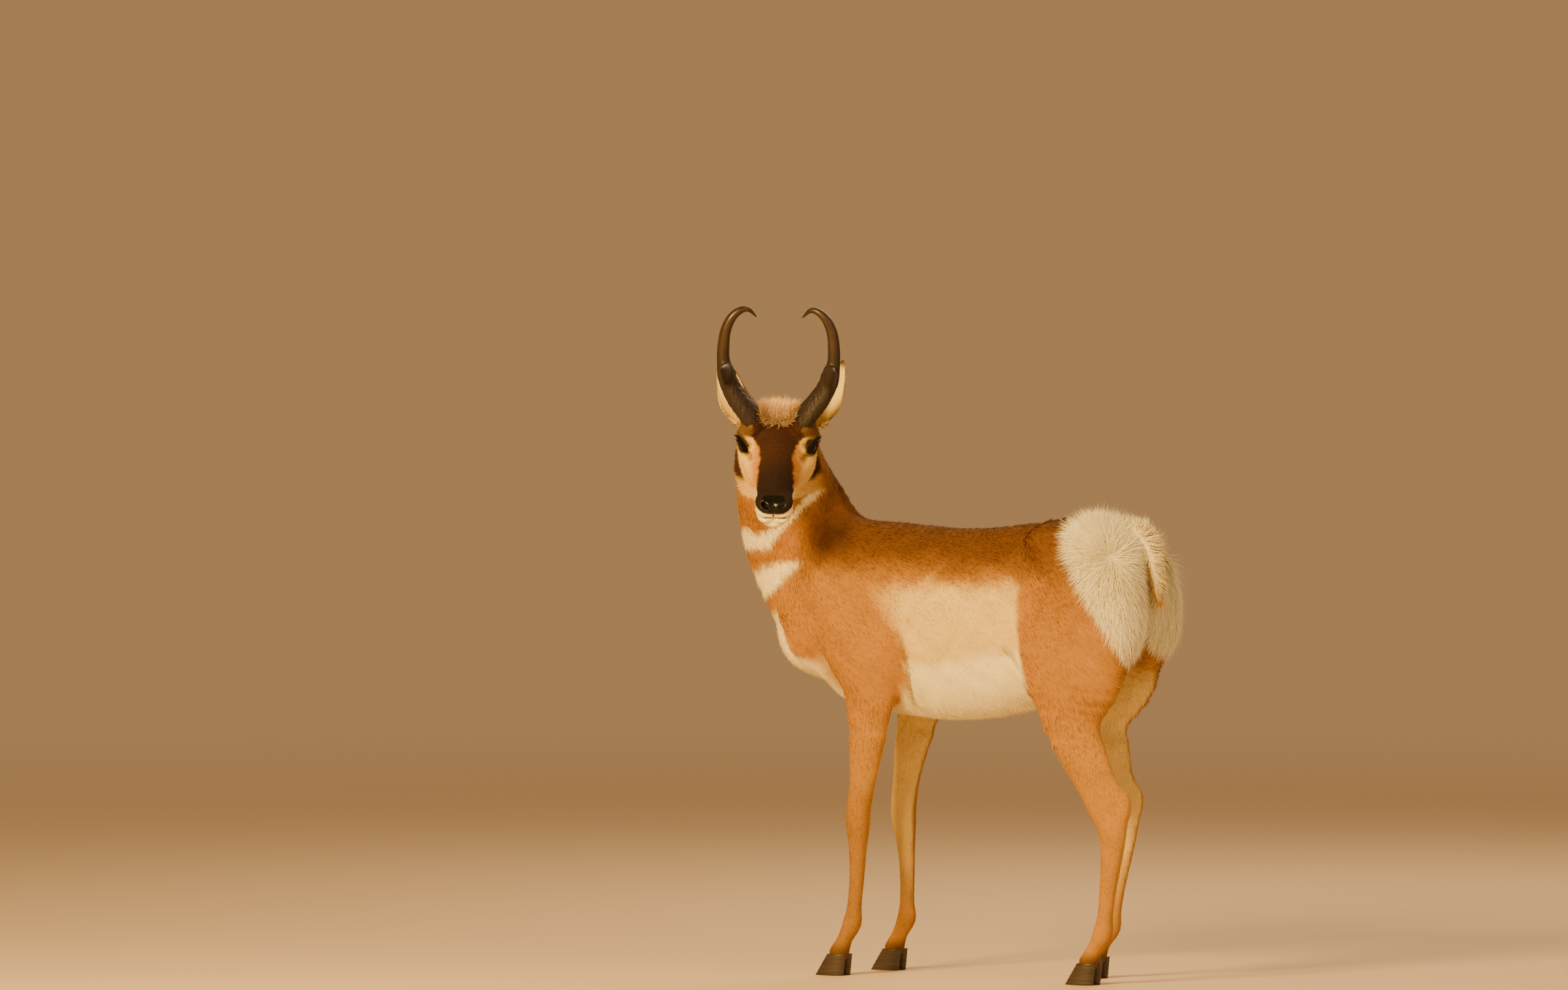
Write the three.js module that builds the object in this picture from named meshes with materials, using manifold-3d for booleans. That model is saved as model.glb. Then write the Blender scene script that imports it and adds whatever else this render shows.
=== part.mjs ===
// A pronghorn buck that stands and looks back over its left side, at life size, in millimetres.
// The body faces -X, its left side is -Y and +Z is up. The head has a frame of its own,
// with x towards the nose, y to the left and z to the crown, and its origin between the eyes.
import * as THREE from "three";
import { mergeVertices } from "three/addons/utils/BufferGeometryUtils.js";
import Module from "manifold-3d";

const wasm = await Module();
wasm.setup();

const degrees = THREE.MathUtils.degToRad;
const mix = THREE.MathUtils.lerp;
const vec = (p) => new THREE.Vector3(...p);

// Driving dimensions.
const GAP = 0.3; // clearance between neighbouring nodes
const SIDES = { left: -1, right: 1 };

// The trunk from chest to rump: x, height of the back, height of the belly, half its width,
// and how much wider it is above than below.
const TRUNK = [
  [-362, 760, 600, 56, 0],
  [-330, 815, 566, 80, 0.04],
  [-285, 866, 540, 101, 0.08],
  [-220, 887, 518, 117, 0.12],
  [-130, 884, 504, 132, 0.1],
  [-30, 877, 495, 143, 0],
  [60, 878, 500, 145, -0.04],
  [140, 886, 517, 137, -0.04],
  [210, 898, 547, 124, 0.02],
  [275, 907, 590, 118, 0.12],
  [345, 896, 625, 112, 0.2],
  [400, 866, 660, 84, 0.2],
];
const TRUNK_CAP = 0.3; // how far the trunk rounds out past its last section

// The neck: its middle, half its depth, half its width, and the heading of its crest.
const NECK = [
  [-255, 0, 700, 150, 98, 0],
  [-314, -4, 765, 138, 90, 2],
  [-348, -18, 830, 126, 82, 10],
  [-361, -40, 890, 114, 79, 26],
  [-367, -60, 932, 104, 79, 48],
  [-366, -80, 972, 99, 80, 74],
  [-361, -100, 1014, 93, 80, 100],
  [-348, -121, 1052, 78, 72, 120],
];

// The legs below the body: x, y, z, half the length fore and aft, half the width, rear taper.
const FORE_LEG = [
  [-172, 96, 650, 72, 38, 0],
  [-152, 97, 578, 66, 37, 0],
  [-157, 89, 505, 51, 34, -0.1],
  [-167, 82, 442, 38, 28, -0.15],
  [-178, 79, 375, 29.5, 23.5, -0.1],
  [-186, 81, 322, 27.5, 25.5, 0],
  [-186, 83, 290, 26, 24, 0],
  [-184, 87, 245, 20.5, 17.5, 0],
  [-184, 91, 190, 17.5, 14.5, 0],
  [-187, 95, 136, 17, 14.5, 0],
  [-190, 98, 103, 21, 19, 0],
  [-206, 99, 72, 17, 17.5, 0],
  [-219, 100, 44, 22, 21, 0],
];
const HIND_LEG = [
  [318, 88, 670, 112, 58, 0],
  [315, 92, 590, 112, 56, -0.05],
  [311, 92, 528, 78, 46, -0.15],
  [321, 90, 481, 59, 39, -0.25],
  [342, 88, 435, 50, 33, -0.35],
  [365, 86, 388, 44, 28, -0.35],
  [390, 85, 343, 45, 25.5, -0.25],
  [400, 86, 292, 31, 21, -0.15],
  [396, 87, 238, 24.5, 17.5, 0],
  [390, 88, 190, 20, 15.5, 0],
  [384, 89, 136, 18, 15, 0],
  [379, 90, 100, 22, 19.5, 0],
  [362, 91, 70, 17.5, 17.5, 0],
  [349, 92, 44, 22, 21, 0],
];
const HOCK_POINT = { at: [424, 85, 345], radii: [17, 13, 30] };
// How far each hind leg is set forward, at the thigh, the hock and the hoof.
const HIND_SET = { left: [0, 0, 0], right: [-34, -80, -100] };

const CORONET = 42; // height of the top of the hooves
const HOOF_LENGTH = 64;
const HOOF_WIDTH = 22;
const HOOF_SPREAD = 12.5; // from the middle of the foot to the middle of one claw

// How the head is carried: where its origin lies and how it turns.
const HEAD_AT = new THREE.Vector3(-303, -190, 1037);
const HEAD_YAW = -60; // heading of the nose, where the body's is 180
const HEAD_PITCH = 31; // how far the nose is below the level
const HEAD_ROLL = -1.5;

// The skull and muzzle: x, height of the top, height of the bottom, half width, upper taper.
const SKULL = [
  [-78, 34, -52, 48, 0],
  [-50, 46, -72, 59, 0],
  [-15, 46, -84, 62, -0.05],
  [20, 34, -84, 60, -0.1],
  [55, 20, -78, 51, -0.12],
  [90, 7, -72, 42, -0.1],
  [122, -4, -68, 36, -0.08],
  [150, -12, -66, 34, 0],
  [172, -19, -64, 33, 0.05],
];
const MUZZLE_CAP = 0.5;
const EYE = { at: [2, 57, 0], radius: 19, forward: 36, slit: [17, 11.5] };
const LID = 2.4; // thickness of the eyelids

// The left horn's middle line, with half its depth and half its width.
const HORN = [
  [-16, 46, 36, 31, 21],
  [-18, 58, 58, 31, 21],
  [-21, 75, 82, 29, 20],
  [-25, 90, 106, 26, 18.5],
  [-30, 101, 136, 22, 17],
  [-36, 107, 166, 15, 13],
  [-42, 107, 197, 12, 12],
  [-49, 103, 226, 10.8, 10.8],
  [-57, 92, 250, 9.4, 9.4],
  [-64, 76, 263, 7.4, 7.4],
  [-70, 60, 262, 5, 5],
  [-75, 45, 243, 1.6, 1.6],
];
const PRONG = [
  [-32, 100, 132, 26, 13],
  [-4, 104, 156, 19, 10],
  [18, 107, 175, 12, 7],
  [36, 109, 192, 3, 2.5],
];
const HORN_SEAT = { at: [-17, 55, 52], along: [-0.06, 0.5, 0.86] };

// The left ear: where it leaves the head, the way it points and the way its cup faces.
const EAR = {
  root: [-76, 66, 14],
  along: [-0.54, 0.48, 0.69],
  facing: [0.8, 0.4, 0.46],
  length: 128,
  width: 33,
  wall: 2.6,
  stem: 17, // radius of the gristle at its root
};

const BEHIND = { at: [303, 0, 912], normal: [0.9, 0, 0.436] }; // where the rump begins
const NECK_ROOT = { at: [-343, 0, 784], normal: [-0.735, 0, 0.678] };
const THROAT = { at: [-100, 0, -10], normal: [-0.86, 0, -0.51] }; // in the head's frame
// Where each leg leaves the trunk: height of the cut over it, its inner face, how far that face
// slopes outwards going up, and the face behind the elbow or ahead of the stifle.
const FORE_CUT = { top: 572, inner: 48, slope: 0.42, face: [-84, 0, 572], away: [-1, 0, 0.3] };
const HIND_CUT = { top: 604, inner: 8, slope: 0.12, face: [196, 0, 604], away: [1, 0, 0.25] };
const KNEE_CUT = 300;
const STIFLE_CUT = 468;
const HOCK_CUT = 318;
// The tail's middle line, half its thickness and half its width.
const TAIL = [
  [404, 0, 874, 15, 19],
  [428, 0, 848, 13, 20],
  [443, 0, 806, 11, 19],
  [450, 0, 758, 9, 15],
  [450, 0, 716, 3, 5],
];

// Locks of long hair: half width, half thickness at the root, length and lift off the skin.
const LOCKS = {
  rump: { width: 20, thick: 5, length: 88, lift: 21, droop: 0.14, sink: 7 },
  ruff: { width: 19, thick: 5, length: 76, lift: 27, droop: 0.12, sink: 7 },
  crown: { width: 9, thick: 4, length: 38, lift: 50, droop: 0.3, sink: 6 },
  mane: { width: 9, thick: 4, length: 50, lift: 22, droop: 0.08, sink: 5 },
};
const RUMP_MIDDLE = [330, 0, 775]; // the point that the rump's locks are spread round
const RUMP_ROWS = [
  { rise: -38, bearings: [20, 40, 60] },
  { rise: -16, bearings: [19, 37, 55, 73] },
  { rise: 6, bearings: [17, 34, 51, 68, 85] },
  { rise: 28, bearings: [18, 38, 58, 78] },
  { rise: 48, bearings: [24, 50, 78] },
  { rise: 66, bearings: [36, 84] },
];
const ROSETTE = [418, 104, 826]; // where the hair of each patch parts
const HAIR_FLOOR = 612; // no tip of the rump's locks hangs below this
const CROWN_ROWS = [
  { x: -20, sides: [-19, -6, 6, 19] },
  { x: -32, sides: [-24, -8, 8, 24] },
  { x: -44, sides: [-15, 0, 15] },
];
const MANE = { from: 0.44, to: 0.74, count: 11, spread: 8 };
const SEED = 7;

// The head's small forms, in the head's frame.
const MOUTH = { back: 106, at: [178, 0, -61], slope: -0.1, open: 1.6 };
const MOUTH_CORE = [
  [92, 0, -54, 16, 33],
  [125, 0, -57, 16, 30],
  [155, 0, -60, 16, 27],
  [172, 0, -61, 16, 19],
  [179, 0, -62, 16, 8],
];
const NOSTRIL = { at: [173, 18, -29], radii: [4.5, 9, 4.5], turn: [38, 0, 22] };
const WELD = 0.02; // corners closer than this become one
const FAR = 80; // beyond this distance a field need only be roughly right

// Fields: a field is negative inside the flesh and about a distance near its surface.

// Joins two fields with a fillet about as wide as the blend.
function smoothMin(a, b, blend) {
  const near = Math.max(blend - Math.abs(a - b), 0) / blend;
  return Math.min(a, b) - (near * near * blend) / 4;
}

// Gives a far-off estimate outside a box and the exact field near it.
function boxed(box, field) {
  return (x, y, z) => {
    const dx = Math.max(box.min.x - x, x - box.max.x, 0);
    const dy = Math.max(box.min.y - y, y - box.max.y, 0);
    const dz = Math.max(box.min.z - z, z - box.max.z, 0);
    const away = Math.hypot(dx, dy, dz);
    return away > FAR ? away : field(x, y, z);
  };
}

function ellipsoid(centre, radii, turn = [0, 0, 0]) {
  const angles = turn.map(degrees);
  const placed = new THREE.Matrix4().makeRotationFromEuler(new THREE.Euler(...angles, "ZYX"));
  placed.setPosition(...centre);
  const m = placed.invert().elements;
  const [a, b, c] = radii;
  const reach = Math.max(a, b, c);
  const box = new THREE.Box3(vec(centre), vec(centre)).expandByScalar(reach);
  return boxed(box, (x, y, z) => {
    const u = m[0] * x + m[4] * y + m[8] * z + m[12];
    const v = m[1] * x + m[5] * y + m[9] * z + m[13];
    const w = m[2] * x + m[6] * y + m[10] * z + m[14];
    const ratio = Math.hypot(u / a, v / b, w / c);
    const slope = Math.hypot(u / (a * a), v / (b * b), w / (c * c));
    return slope < 1e-9 ? -Math.min(a, b, c) : (ratio * (ratio - 1)) / slope;
  });
}

// A body along a smooth line through stations of x, y, z, half depth, half width and taper.
// The depth lies along the direction that "upAt" gives, and the taper widens that side.
function loft(stations, upAt, cap = 1, steps = 3) {
  const curve = new THREE.CatmullRomCurve3(stations.map((s) => vec(s.slice(0, 3))));
  const sizes = new THREE.CatmullRomCurve3(stations.map((s) => vec([s[3], s[4], s[5] ?? 0])));
  const count = (stations.length - 1) * steps;
  const box = new THREE.Box3();
  const segments = [];
  for (let k = 0; k < count; k += 1) {
    const start = curve.getPoint(k / count);
    const end = curve.getPoint((k + 1) / count);
    const from = sizes.getPoint(k / count);
    const to = sizes.getPoint((k + 1) / count);
    const along = end.clone().sub(start);
    const length = along.length();
    along.divideScalar(length);
    const up = upAt((k + 0.5) / count).clone();
    up.addScaledVector(along, -up.dot(along)).normalize();
    const side = up.clone().cross(along);
    const size = Math.max(from.x, from.y, to.x, to.y);
    const round = new THREE.Box3().setFromPoints([start, end]).expandByScalar(size);
    box.union(round);
    segments.push({ start, along, length, up, side, from, to });
  }
  return boxed(box, (x, y, z) => {
    let best = Infinity;
    for (const s of segments) {
      const px = x - s.start.x;
      const py = y - s.start.y;
      const pz = z - s.start.z;
      const run = px * s.along.x + py * s.along.y + pz * s.along.z;
      const t = Math.min(Math.max(run / s.length, 0), 1);
      const u = px * s.up.x + py * s.up.y + pz * s.up.z;
      const v = px * s.side.x + py * s.side.y + pz * s.side.z;
      const past = run - t * s.length;
      const depth = mix(s.from.x, s.to.x, t);
      const taper = mix(s.from.z, s.to.z, t);
      const lean = Math.min(Math.max(u / depth, -1), 1);
      const width = mix(s.from.y, s.to.y, t) * (1 + taper * lean);
      const end = Math.min(depth, width) * cap;
      const ratio = Math.hypot(u / depth, v / width, past / end);
      const slope = Math.hypot(u / depth ** 2, v / width ** 2, past / end ** 2);
      const value = slope < 1e-9 ? -Math.min(depth, width) : (ratio * (ratio - 1)) / slope;
      best = Math.min(best, value);
    }
    return best;
  });
}

const always = (p) => {
  const direction = vec(p);
  return () => direction;
};

// The heading of the neck's crest turns from straight back at the shoulders to away from the face.
function crestAt(t) {
  const place = t * (NECK.length - 1);
  const k = Math.min(Math.floor(place), NECK.length - 2);
  const heading = degrees(mix(NECK[k][5], NECK[k + 1][5], place - k));
  return new THREE.Vector3(Math.cos(heading), Math.sin(heading), 0.35 * (1 - t));
}

// The head's frame in the world, and the way back into it.
const headFrame = new THREE.Matrix4().makeRotationFromEuler(
  new THREE.Euler(degrees(HEAD_ROLL), degrees(HEAD_PITCH), degrees(HEAD_YAW), "ZYX"),
);
headFrame.setPosition(HEAD_AT);
const intoHead = headFrame.clone().invert().elements;

// Moves a field that is written in the head's frame into the world.
function onHead(field) {
  const m = intoHead;
  return (x, y, z) =>
    field(
      m[0] * x + m[4] * y + m[8] * z + m[12],
      m[1] * x + m[5] * y + m[9] * z + m[13],
      m[2] * x + m[6] * y + m[10] * z + m[14],
    );
}

const fromEdges = ([x, top, bottom, width, taper]) => [
  x,
  0,
  (top + bottom) / 2,
  (top - bottom) / 2,
  width,
  taper,
];

function blended(parts) {
  return (x, y, z) => {
    let value = parts[0].field(x, y, z);
    for (const part of parts.slice(1)) {
      value = smoothMin(value, part.field(x, y, z), part.blend);
    }
    return value;
  };
}

const mirrored = (p, side) => [p[0], p[1] * side, ...p.slice(2)];

function legStations(kind, name) {
  const side = SIDES[name];
  const base = kind === "fore" ? FORE_LEG : HIND_LEG;
  const set = kind === "fore" ? [0, 0, 0] : HIND_SET[name];
  return base.map((station) => {
    const [x, y, z, ...sizes] = station;
    const low = THREE.MathUtils.clamp((HOCK_CUT - z) / HOCK_CUT, 0, 1);
    const high = THREE.MathUtils.clamp((HIND_CUT.top - z) / (HIND_CUT.top - HOCK_CUT), 0, 1);
    const shift = z > HOCK_CUT ? mix(set[0], set[1], high) : mix(set[1], set[2], low);
    return [x + shift, y * side, z, ...sizes];
  });
}

// The muscles and bones that show on the trunk of one side.
function trunkForms(name) {
  const side = SIDES[name];
  const set = HIND_SET[name][0];
  const at = (p) => mirrored(p, side);
  return [
    { field: ellipsoid(at([-232, 84, 735]), [62, 38, 150], [0, -24, 0]), blend: 40 },
    { field: ellipsoid(at([-322, 62, 660]), [52, 48, 60]), blend: 45 },
    { field: ellipsoid(at([-165, 100, 628]), [84, 36, 66], [0, 20, 0]), blend: 34 },
    { field: ellipsoid(at([338 + set * 0.2, 84, 735]), [98, 60, 140], [0, -8, 0]), blend: 46 },
    { field: ellipsoid(at([262 + set * 0.6, 104, 628]), [64, 42, 90], [0, -24, 0]), blend: 40 },
    { field: ellipsoid(at([392, 62, 700]), [46, 52, 96]), blend: 30 },
    { field: ellipsoid(at([246, 82, 858]), [38, 34, 30]), blend: 46 },
  ];
}

const legFields = {};
for (const name of Object.keys(SIDES)) {
  for (const kind of ["fore", "hind"]) {
    const stations = legStations(kind, name);
    const parts = [{ field: loft(stations, always([1, 0, 0])), blend: 0 }];
    if (kind === "hind") {
      const [x, y, z] = mirrored(HOCK_POINT.at, SIDES[name]);
      const point = [x + HIND_SET[name][1], y, z];
      parts.push({ field: ellipsoid(point, HOCK_POINT.radii, [0, 10, 0]), blend: 12 });
    }
    legFields[`${kind}_${name}`] = blended(parts);
  }
}

const neckField = loft(NECK.map((s) => s.slice(0, 5)), crestAt);

const bodyField = blended([
  { field: loft(TRUNK.map(fromEdges), always([0, 0, 1]), TRUNK_CAP), blend: 0 },
  { field: neckField, blend: 46 },
  ...Object.keys(SIDES).flatMap(trunkForms),
  ...Object.values(legFields).map((field) => ({ field, blend: 26 })),
]);

// The bare head in its own frame: skull, jaw, brows, muzzle and chin.
function headForms() {
  const both = (p, radii, blend, turn = [0, 0, 0]) =>
    Object.values(SIDES).map((side) => ({
      field: ellipsoid(mirrored(p, side), radii, [turn[0] * side, turn[1], turn[2] * side]),
      blend,
    }));
  return blended([
    { field: loft(SKULL.map(fromEdges), always([0, 0, 1]), MUZZLE_CAP), blend: 0 },
    ...both([-6, 56, 4], [32, 24, 27], 12, [0, 8, -20]),
    ...both([-2, 44, -46], [48, 26, 38], 26, [0, 10, -10]),
    ...both([-17, 47, 40], [36, 24, 22], 18),
    ...both([-60, 54, 8], [22, 20, 24], 14),
    ...both([160, 18, -33], [24, 18, 18], 12),
    ...both([148, 17, -62], [36, 18, 15], 14),
    { field: ellipsoid([146, 0, -76], [32, 24, 14]), blend: 12 },
    { field: ellipsoid([166, 0, -34], [24, 24, 17]), blend: 12 },
  ]);
}

const headField = onHead(headForms());
const fleshField = (x, y, z) => smoothMin(bodyField(x, y, z), headField(x, y, z), 30);

// Solids.

function toManifold(geometry) {
  const bare = geometry.index ? geometry.clone() : mergeVertices(geometry);
  const merged = mergeVertices(
    new THREE.BufferGeometry()
      .setAttribute("position", bare.getAttribute("position"))
      .setIndex(bare.index),
    1e-5,
  );
  const mesh = new wasm.Mesh({
    numProp: 3,
    vertProperties: new Float32Array(merged.getAttribute("position").array),
    triVerts: new Uint32Array(merged.index.array),
  });
  return new wasm.Manifold(mesh);
}

function fromLists(points, faces) {
  const geometry = new THREE.BufferGeometry();
  const flat = new Float32Array(points.flat());
  geometry.setAttribute("position", new THREE.BufferAttribute(flat, 3));
  geometry.setIndex(faces.flat());
  return toManifold(geometry);
}

// Keeps only the largest closed surface of a solid.
function largest(solid) {
  const pieces = solid.decompose();
  pieces.sort((a, b) => b.volume() - a.volume());
  return pieces[0];
}

// A box whose near face is centred on a point and that lies on the side the normal points to.
function block(at, normal, across = 4000, deep = 2000) {
  const geometry = new THREE.BoxGeometry(across, across, deep);
  geometry.deleteAttribute("normal");
  geometry.deleteAttribute("uv");
  geometry.translate(0, 0, deep / 2);
  const direction = vec(normal).normalize();
  const turn = new THREE.Quaternion().setFromUnitVectors(new THREE.Vector3(0, 0, 1), direction);
  geometry.applyQuaternion(turn);
  geometry.translate(...at);
  return toManifold(geometry);
}

// The block on one side of a cut, drawn back by half the clearance.
function beyond(cut, across, deep) {
  const direction = vec(cut.normal).normalize();
  const at = vec(cut.at).addScaledVector(direction, -GAP / 2);
  return block(at.toArray(), direction.toArray(), across, deep);
}

const reverse = (cut) => ({ at: cut.at, normal: cut.normal.map((c) => -c) });

// True where every edge of the faces is shared by just two of them.
function sound(faces) {
  const shared = new Map();
  for (const face of faces) {
    for (let n = 0; n < 3; n += 1) {
      const [a, b] = [face[n], face[(n + 1) % 3]];
      const edge = a < b ? `${a} ${b}` : `${b} ${a}`;
      shared.set(edge, (shared.get(edge) ?? 0) + 1);
    }
  }
  return [...shared.values()].every((uses) => uses === 2);
}

// Wraps a field in a skin of cells, and shifts the grid where two sheets share a cell.
function wrap(field, low, high, cell) {
  for (const shift of [0, 0.3, 0.55, 0.8, 0.15, 0.4, 0.7]) {
    const start = low.map((v, m) => v - shift * cell[m]);
    const { points, faces } = wrapCells(field, start, high, cell);
    if (sound(faces)) return fromLists(points, faces);
  }
  throw new Error("no grid wraps this field in one clean skin");
}

// One point in each cell that the surface crosses, and two faces across each edge it cuts.
function wrapCells(field, low, high, cell) {
  const counts = low.map((v, k) => Math.ceil((high[k] - v) / cell[k]));
  const [nx, ny, nz] = counts.map((n) => n + 1);
  const spot = (i, j, k) => [low[0] + i * cell[0], low[1] + j * cell[1], low[2] + k * cell[2]];
  const at = (i, j, k) => (i * ny + j) * nz + k;
  const values = new Float32Array(nx * ny * nz);
  for (let i = 0; i < nx; i += 1) {
    for (let j = 0; j < ny; j += 1) {
      for (let k = 0; k < nz; k += 1) {
        const edge = i * j * k === 0 || i === nx - 1 || j === ny - 1 || k === nz - 1;
        values[at(i, j, k)] = edge ? 1 : field(...spot(i, j, k));
      }
    }
  }
  const points = [];
  const cells = new Int32Array(nx * ny * nz).fill(-1);
  const corners = [0, 1, 2, 3, 4, 5, 6, 7].map((c) => [c >> 2, (c >> 1) & 1, c & 1]);
  const edges = [];
  for (let a = 0; a < 8; a += 1) {
    for (const bit of [1, 2, 4]) {
      if ((a & bit) === 0) edges.push([a, a | bit]);
    }
  }
  for (let i = 0; i < nx - 1; i += 1) {
    for (let j = 0; j < ny - 1; j += 1) {
      for (let k = 0; k < nz - 1; k += 1) {
        const v = corners.map(([a, b, c]) => values[at(i + a, j + b, k + c)]);
        let crossings = 0;
        const sum = [0, 0, 0];
        for (const [a, b] of edges) {
          if (v[a] < 0 !== v[b] < 0) {
            const t = v[a] / (v[a] - v[b]);
            crossings += 1;
            for (let m = 0; m < 3; m += 1) sum[m] += mix(corners[a][m], corners[b][m], t);
          }
        }
        if (crossings > 0) {
          const place = sum.map((s, m) => low[m] + ([i, j, k][m] + s / crossings) * cell[m]);
          cells[at(i, j, k)] = points.length;
          points.push(settle(field, place, cell));
        }
      }
    }
  }
  const faces = [];
  const quad = (a, b, c, d, flip) => {
    const p = [a, b, c, d].map((n) => vec(points[n]));
    const short = p[0].distanceTo(p[2]) < p[1].distanceTo(p[3]);
    const pair = short ? [[a, b, c], [a, c, d]] : [[a, b, d], [b, c, d]];
    for (const [r, s, t] of pair) faces.push(flip ? [r, t, s] : [r, s, t]);
  };
  for (let i = 0; i < nx - 1; i += 1) {
    for (let j = 0; j < ny - 1; j += 1) {
      for (let k = 0; k < nz - 1; k += 1) {
        const here = values[at(i, j, k)] < 0;
        const near = (a, b, c) => cells[at(i - a, j - b, k - c)];
        if (j > 0 && k > 0 && here !== values[at(i + 1, j, k)] < 0) {
          quad(near(0, 1, 1), near(0, 0, 1), near(0, 0, 0), near(0, 1, 0), !here);
        }
        if (i > 0 && k > 0 && here !== values[at(i, j + 1, k)] < 0) {
          quad(near(1, 0, 1), near(1, 0, 0), near(0, 0, 0), near(0, 0, 1), !here);
        }
        if (i > 0 && j > 0 && here !== values[at(i, j, k + 1)] < 0) {
          quad(near(1, 1, 0), near(0, 1, 0), near(0, 0, 0), near(1, 0, 0), !here);
        }
      }
    }
  }
  return { points, faces };
}

// Moves a point of the skin onto the field's surface, by less than half a cell.
function settle(field, place, cell) {
  const [x, y, z] = place;
  const h = 1;
  const value = field(x, y, z);
  const slope = [
    (field(x + h, y, z) - field(x - h, y, z)) / (2 * h),
    (field(x, y + h, z) - field(x, y - h, z)) / (2 * h),
    (field(x, y, z + h) - field(x, y, z - h)) / (2 * h),
  ];
  const steep = Math.max(slope.reduce((sum, s) => sum + s * s, 0), 0.05);
  return place.map((p, m) => {
    const limit = cell[m] * 0.45;
    return p - THREE.MathUtils.clamp((value * slope[m]) / steep, -limit, limit);
  });
}

// A closed tube of rings along stations, with the same number of points in each ring.
function ringTube(stations, upAt, sides, steps) {
  const curve = new THREE.CatmullRomCurve3(stations.map((s) => vec(s.slice(0, 3))));
  const sizes = new THREE.CatmullRomCurve3(stations.map((s) => vec([s[3], s[4], 0])));
  const rings = [];
  for (let k = 0; k <= steps; k += 1) {
    const t = k / steps;
    const centre = curve.getPoint(t);
    const size = sizes.getPoint(t);
    const along = curve.getTangent(t);
    const up = upAt(t).clone();
    up.addScaledVector(along, -up.dot(along)).normalize();
    const side = along.clone().cross(up);
    const ring = [];
    for (let n = 0; n < sides; n += 1) {
      const angle = (2 * Math.PI * n) / sides;
      const point = centre.clone();
      point.addScaledVector(up, Math.cos(angle) * size.x);
      point.addScaledVector(side, Math.sin(angle) * size.y);
      ring.push(point.toArray());
    }
    rings.push(ring);
  }
  return fromRings(rings);
}

// Closes a stack of rings with a fan at each end.
function fromRings(rings) {
  const sides = rings[0].length;
  const points = rings.flat();
  const faces = [];
  for (let k = 0; k < rings.length - 1; k += 1) {
    for (let n = 0; n < sides; n += 1) {
      const a = k * sides + n;
      const b = k * sides + ((n + 1) % sides);
      faces.push([a, b, b + sides], [a, b + sides, a + sides]);
    }
  }
  for (const [ring, flip] of [[0, true], [rings.length - 1, false]]) {
    const middle = rings[ring].reduce((sum, p) => sum.map((s, m) => s + p[m] / sides), [0, 0, 0]);
    const hub = points.push(middle) - 1;
    for (let n = 0; n < sides; n += 1) {
      const a = ring * sides + n;
      const b = ring * sides + ((n + 1) % sides);
      faces.push(flip ? [b, a, hub] : [a, b, hub]);
    }
  }
  return fromLists(points, faces);
}

function ball(centre, radius, around = 12, rows = 7) {
  const geometry = new THREE.SphereGeometry(radius, around, rows);
  geometry.deleteAttribute("normal");
  geometry.deleteAttribute("uv");
  geometry.translate(...centre);
  return toManifold(geometry);
}

const placeOnHead = (solid) => solid.transform(headFrame.elements);

const cutOnHead = (cut) => ({
  at: vec(cut.at).applyMatrix4(headFrame).toArray(),
  normal: vec(cut.normal).transformDirection(headFrame).toArray(),
});

// Steady random numbers between two limits.
function randomSeries(seed) {
  let state = seed;
  return (low, high) => {
    state = (state * 16807) % 2147483647;
    return mix(low, high, state / 2147483647);
  };
}

// The place where a ray from inside a field leaves it, and the way the skin faces there.
function skinAt(field, from, direction, reach) {
  const start = vec(from);
  const along = vec(direction).normalize();
  let [near, far] = [0, reach];
  for (let n = 0; n < 18; n += 1) {
    const half = (near + far) / 2;
    const p = start.clone().addScaledVector(along, half);
    if (field(p.x, p.y, p.z) < 0) near = half;
    else far = half;
  }
  const at = start.addScaledVector(along, near);
  const h = 3;
  const facing = new THREE.Vector3(
    field(at.x + h, at.y, at.z) - field(at.x - h, at.y, at.z),
    field(at.x, at.y + h, at.z) - field(at.x, at.y - h, at.z),
    field(at.x, at.y, at.z + h) - field(at.x, at.y, at.z - h),
  );
  return { at, facing: facing.normalize() };
}

// One flat tapered lock that leaves the skin along its lie and bends back towards it.
function lock(kind, { at, facing }, lie, scale, sway) {
  const { width, thick, length, lift, droop, sink } = LOCKS[kind];
  const along = lie.clone().addScaledVector(facing, -lie.dot(facing)).normalize();
  const side = along.clone().cross(facing);
  const rise = Math.sin(degrees(lift));
  const run = Math.cos(degrees(lift));
  const reach = length * scale;
  const place = (s) => {
    const p = at.clone().addScaledVector(along, (run * s - 0.1) * reach);
    p.addScaledVector(facing, (rise * s - droop * s * s) * reach - sink * (1 - s) * (1 - s));
    return p.addScaledVector(side, sway * s * s * reach);
  };
  const rings = [];
  for (const s of [0, 0.36, 0.7, 0.93]) {
    const middle = place(s);
    const full = Math.sqrt(1 - s ** 1.6) * (s < 0.3 ? 0.8 : 1);
    const step = place(s + 0.05).sub(middle).normalize();
    const out = side.clone().cross(step).normalize();
    const ring = [];
    for (const [a, b] of [[-1, -0.3], [0, 1], [1, -0.3], [0, -0.9]]) {
      const p = middle.clone().addScaledVector(side, a * width * full);
      ring.push(p.addScaledVector(out, b * thick * full).toArray());
    }
    rings.push(ring);
  }
  const solid = fromRings(rings);
  return solid.volume() > 0 ? solid : fromRings(rings.map((ring) => ring.reverse()));
}

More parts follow.
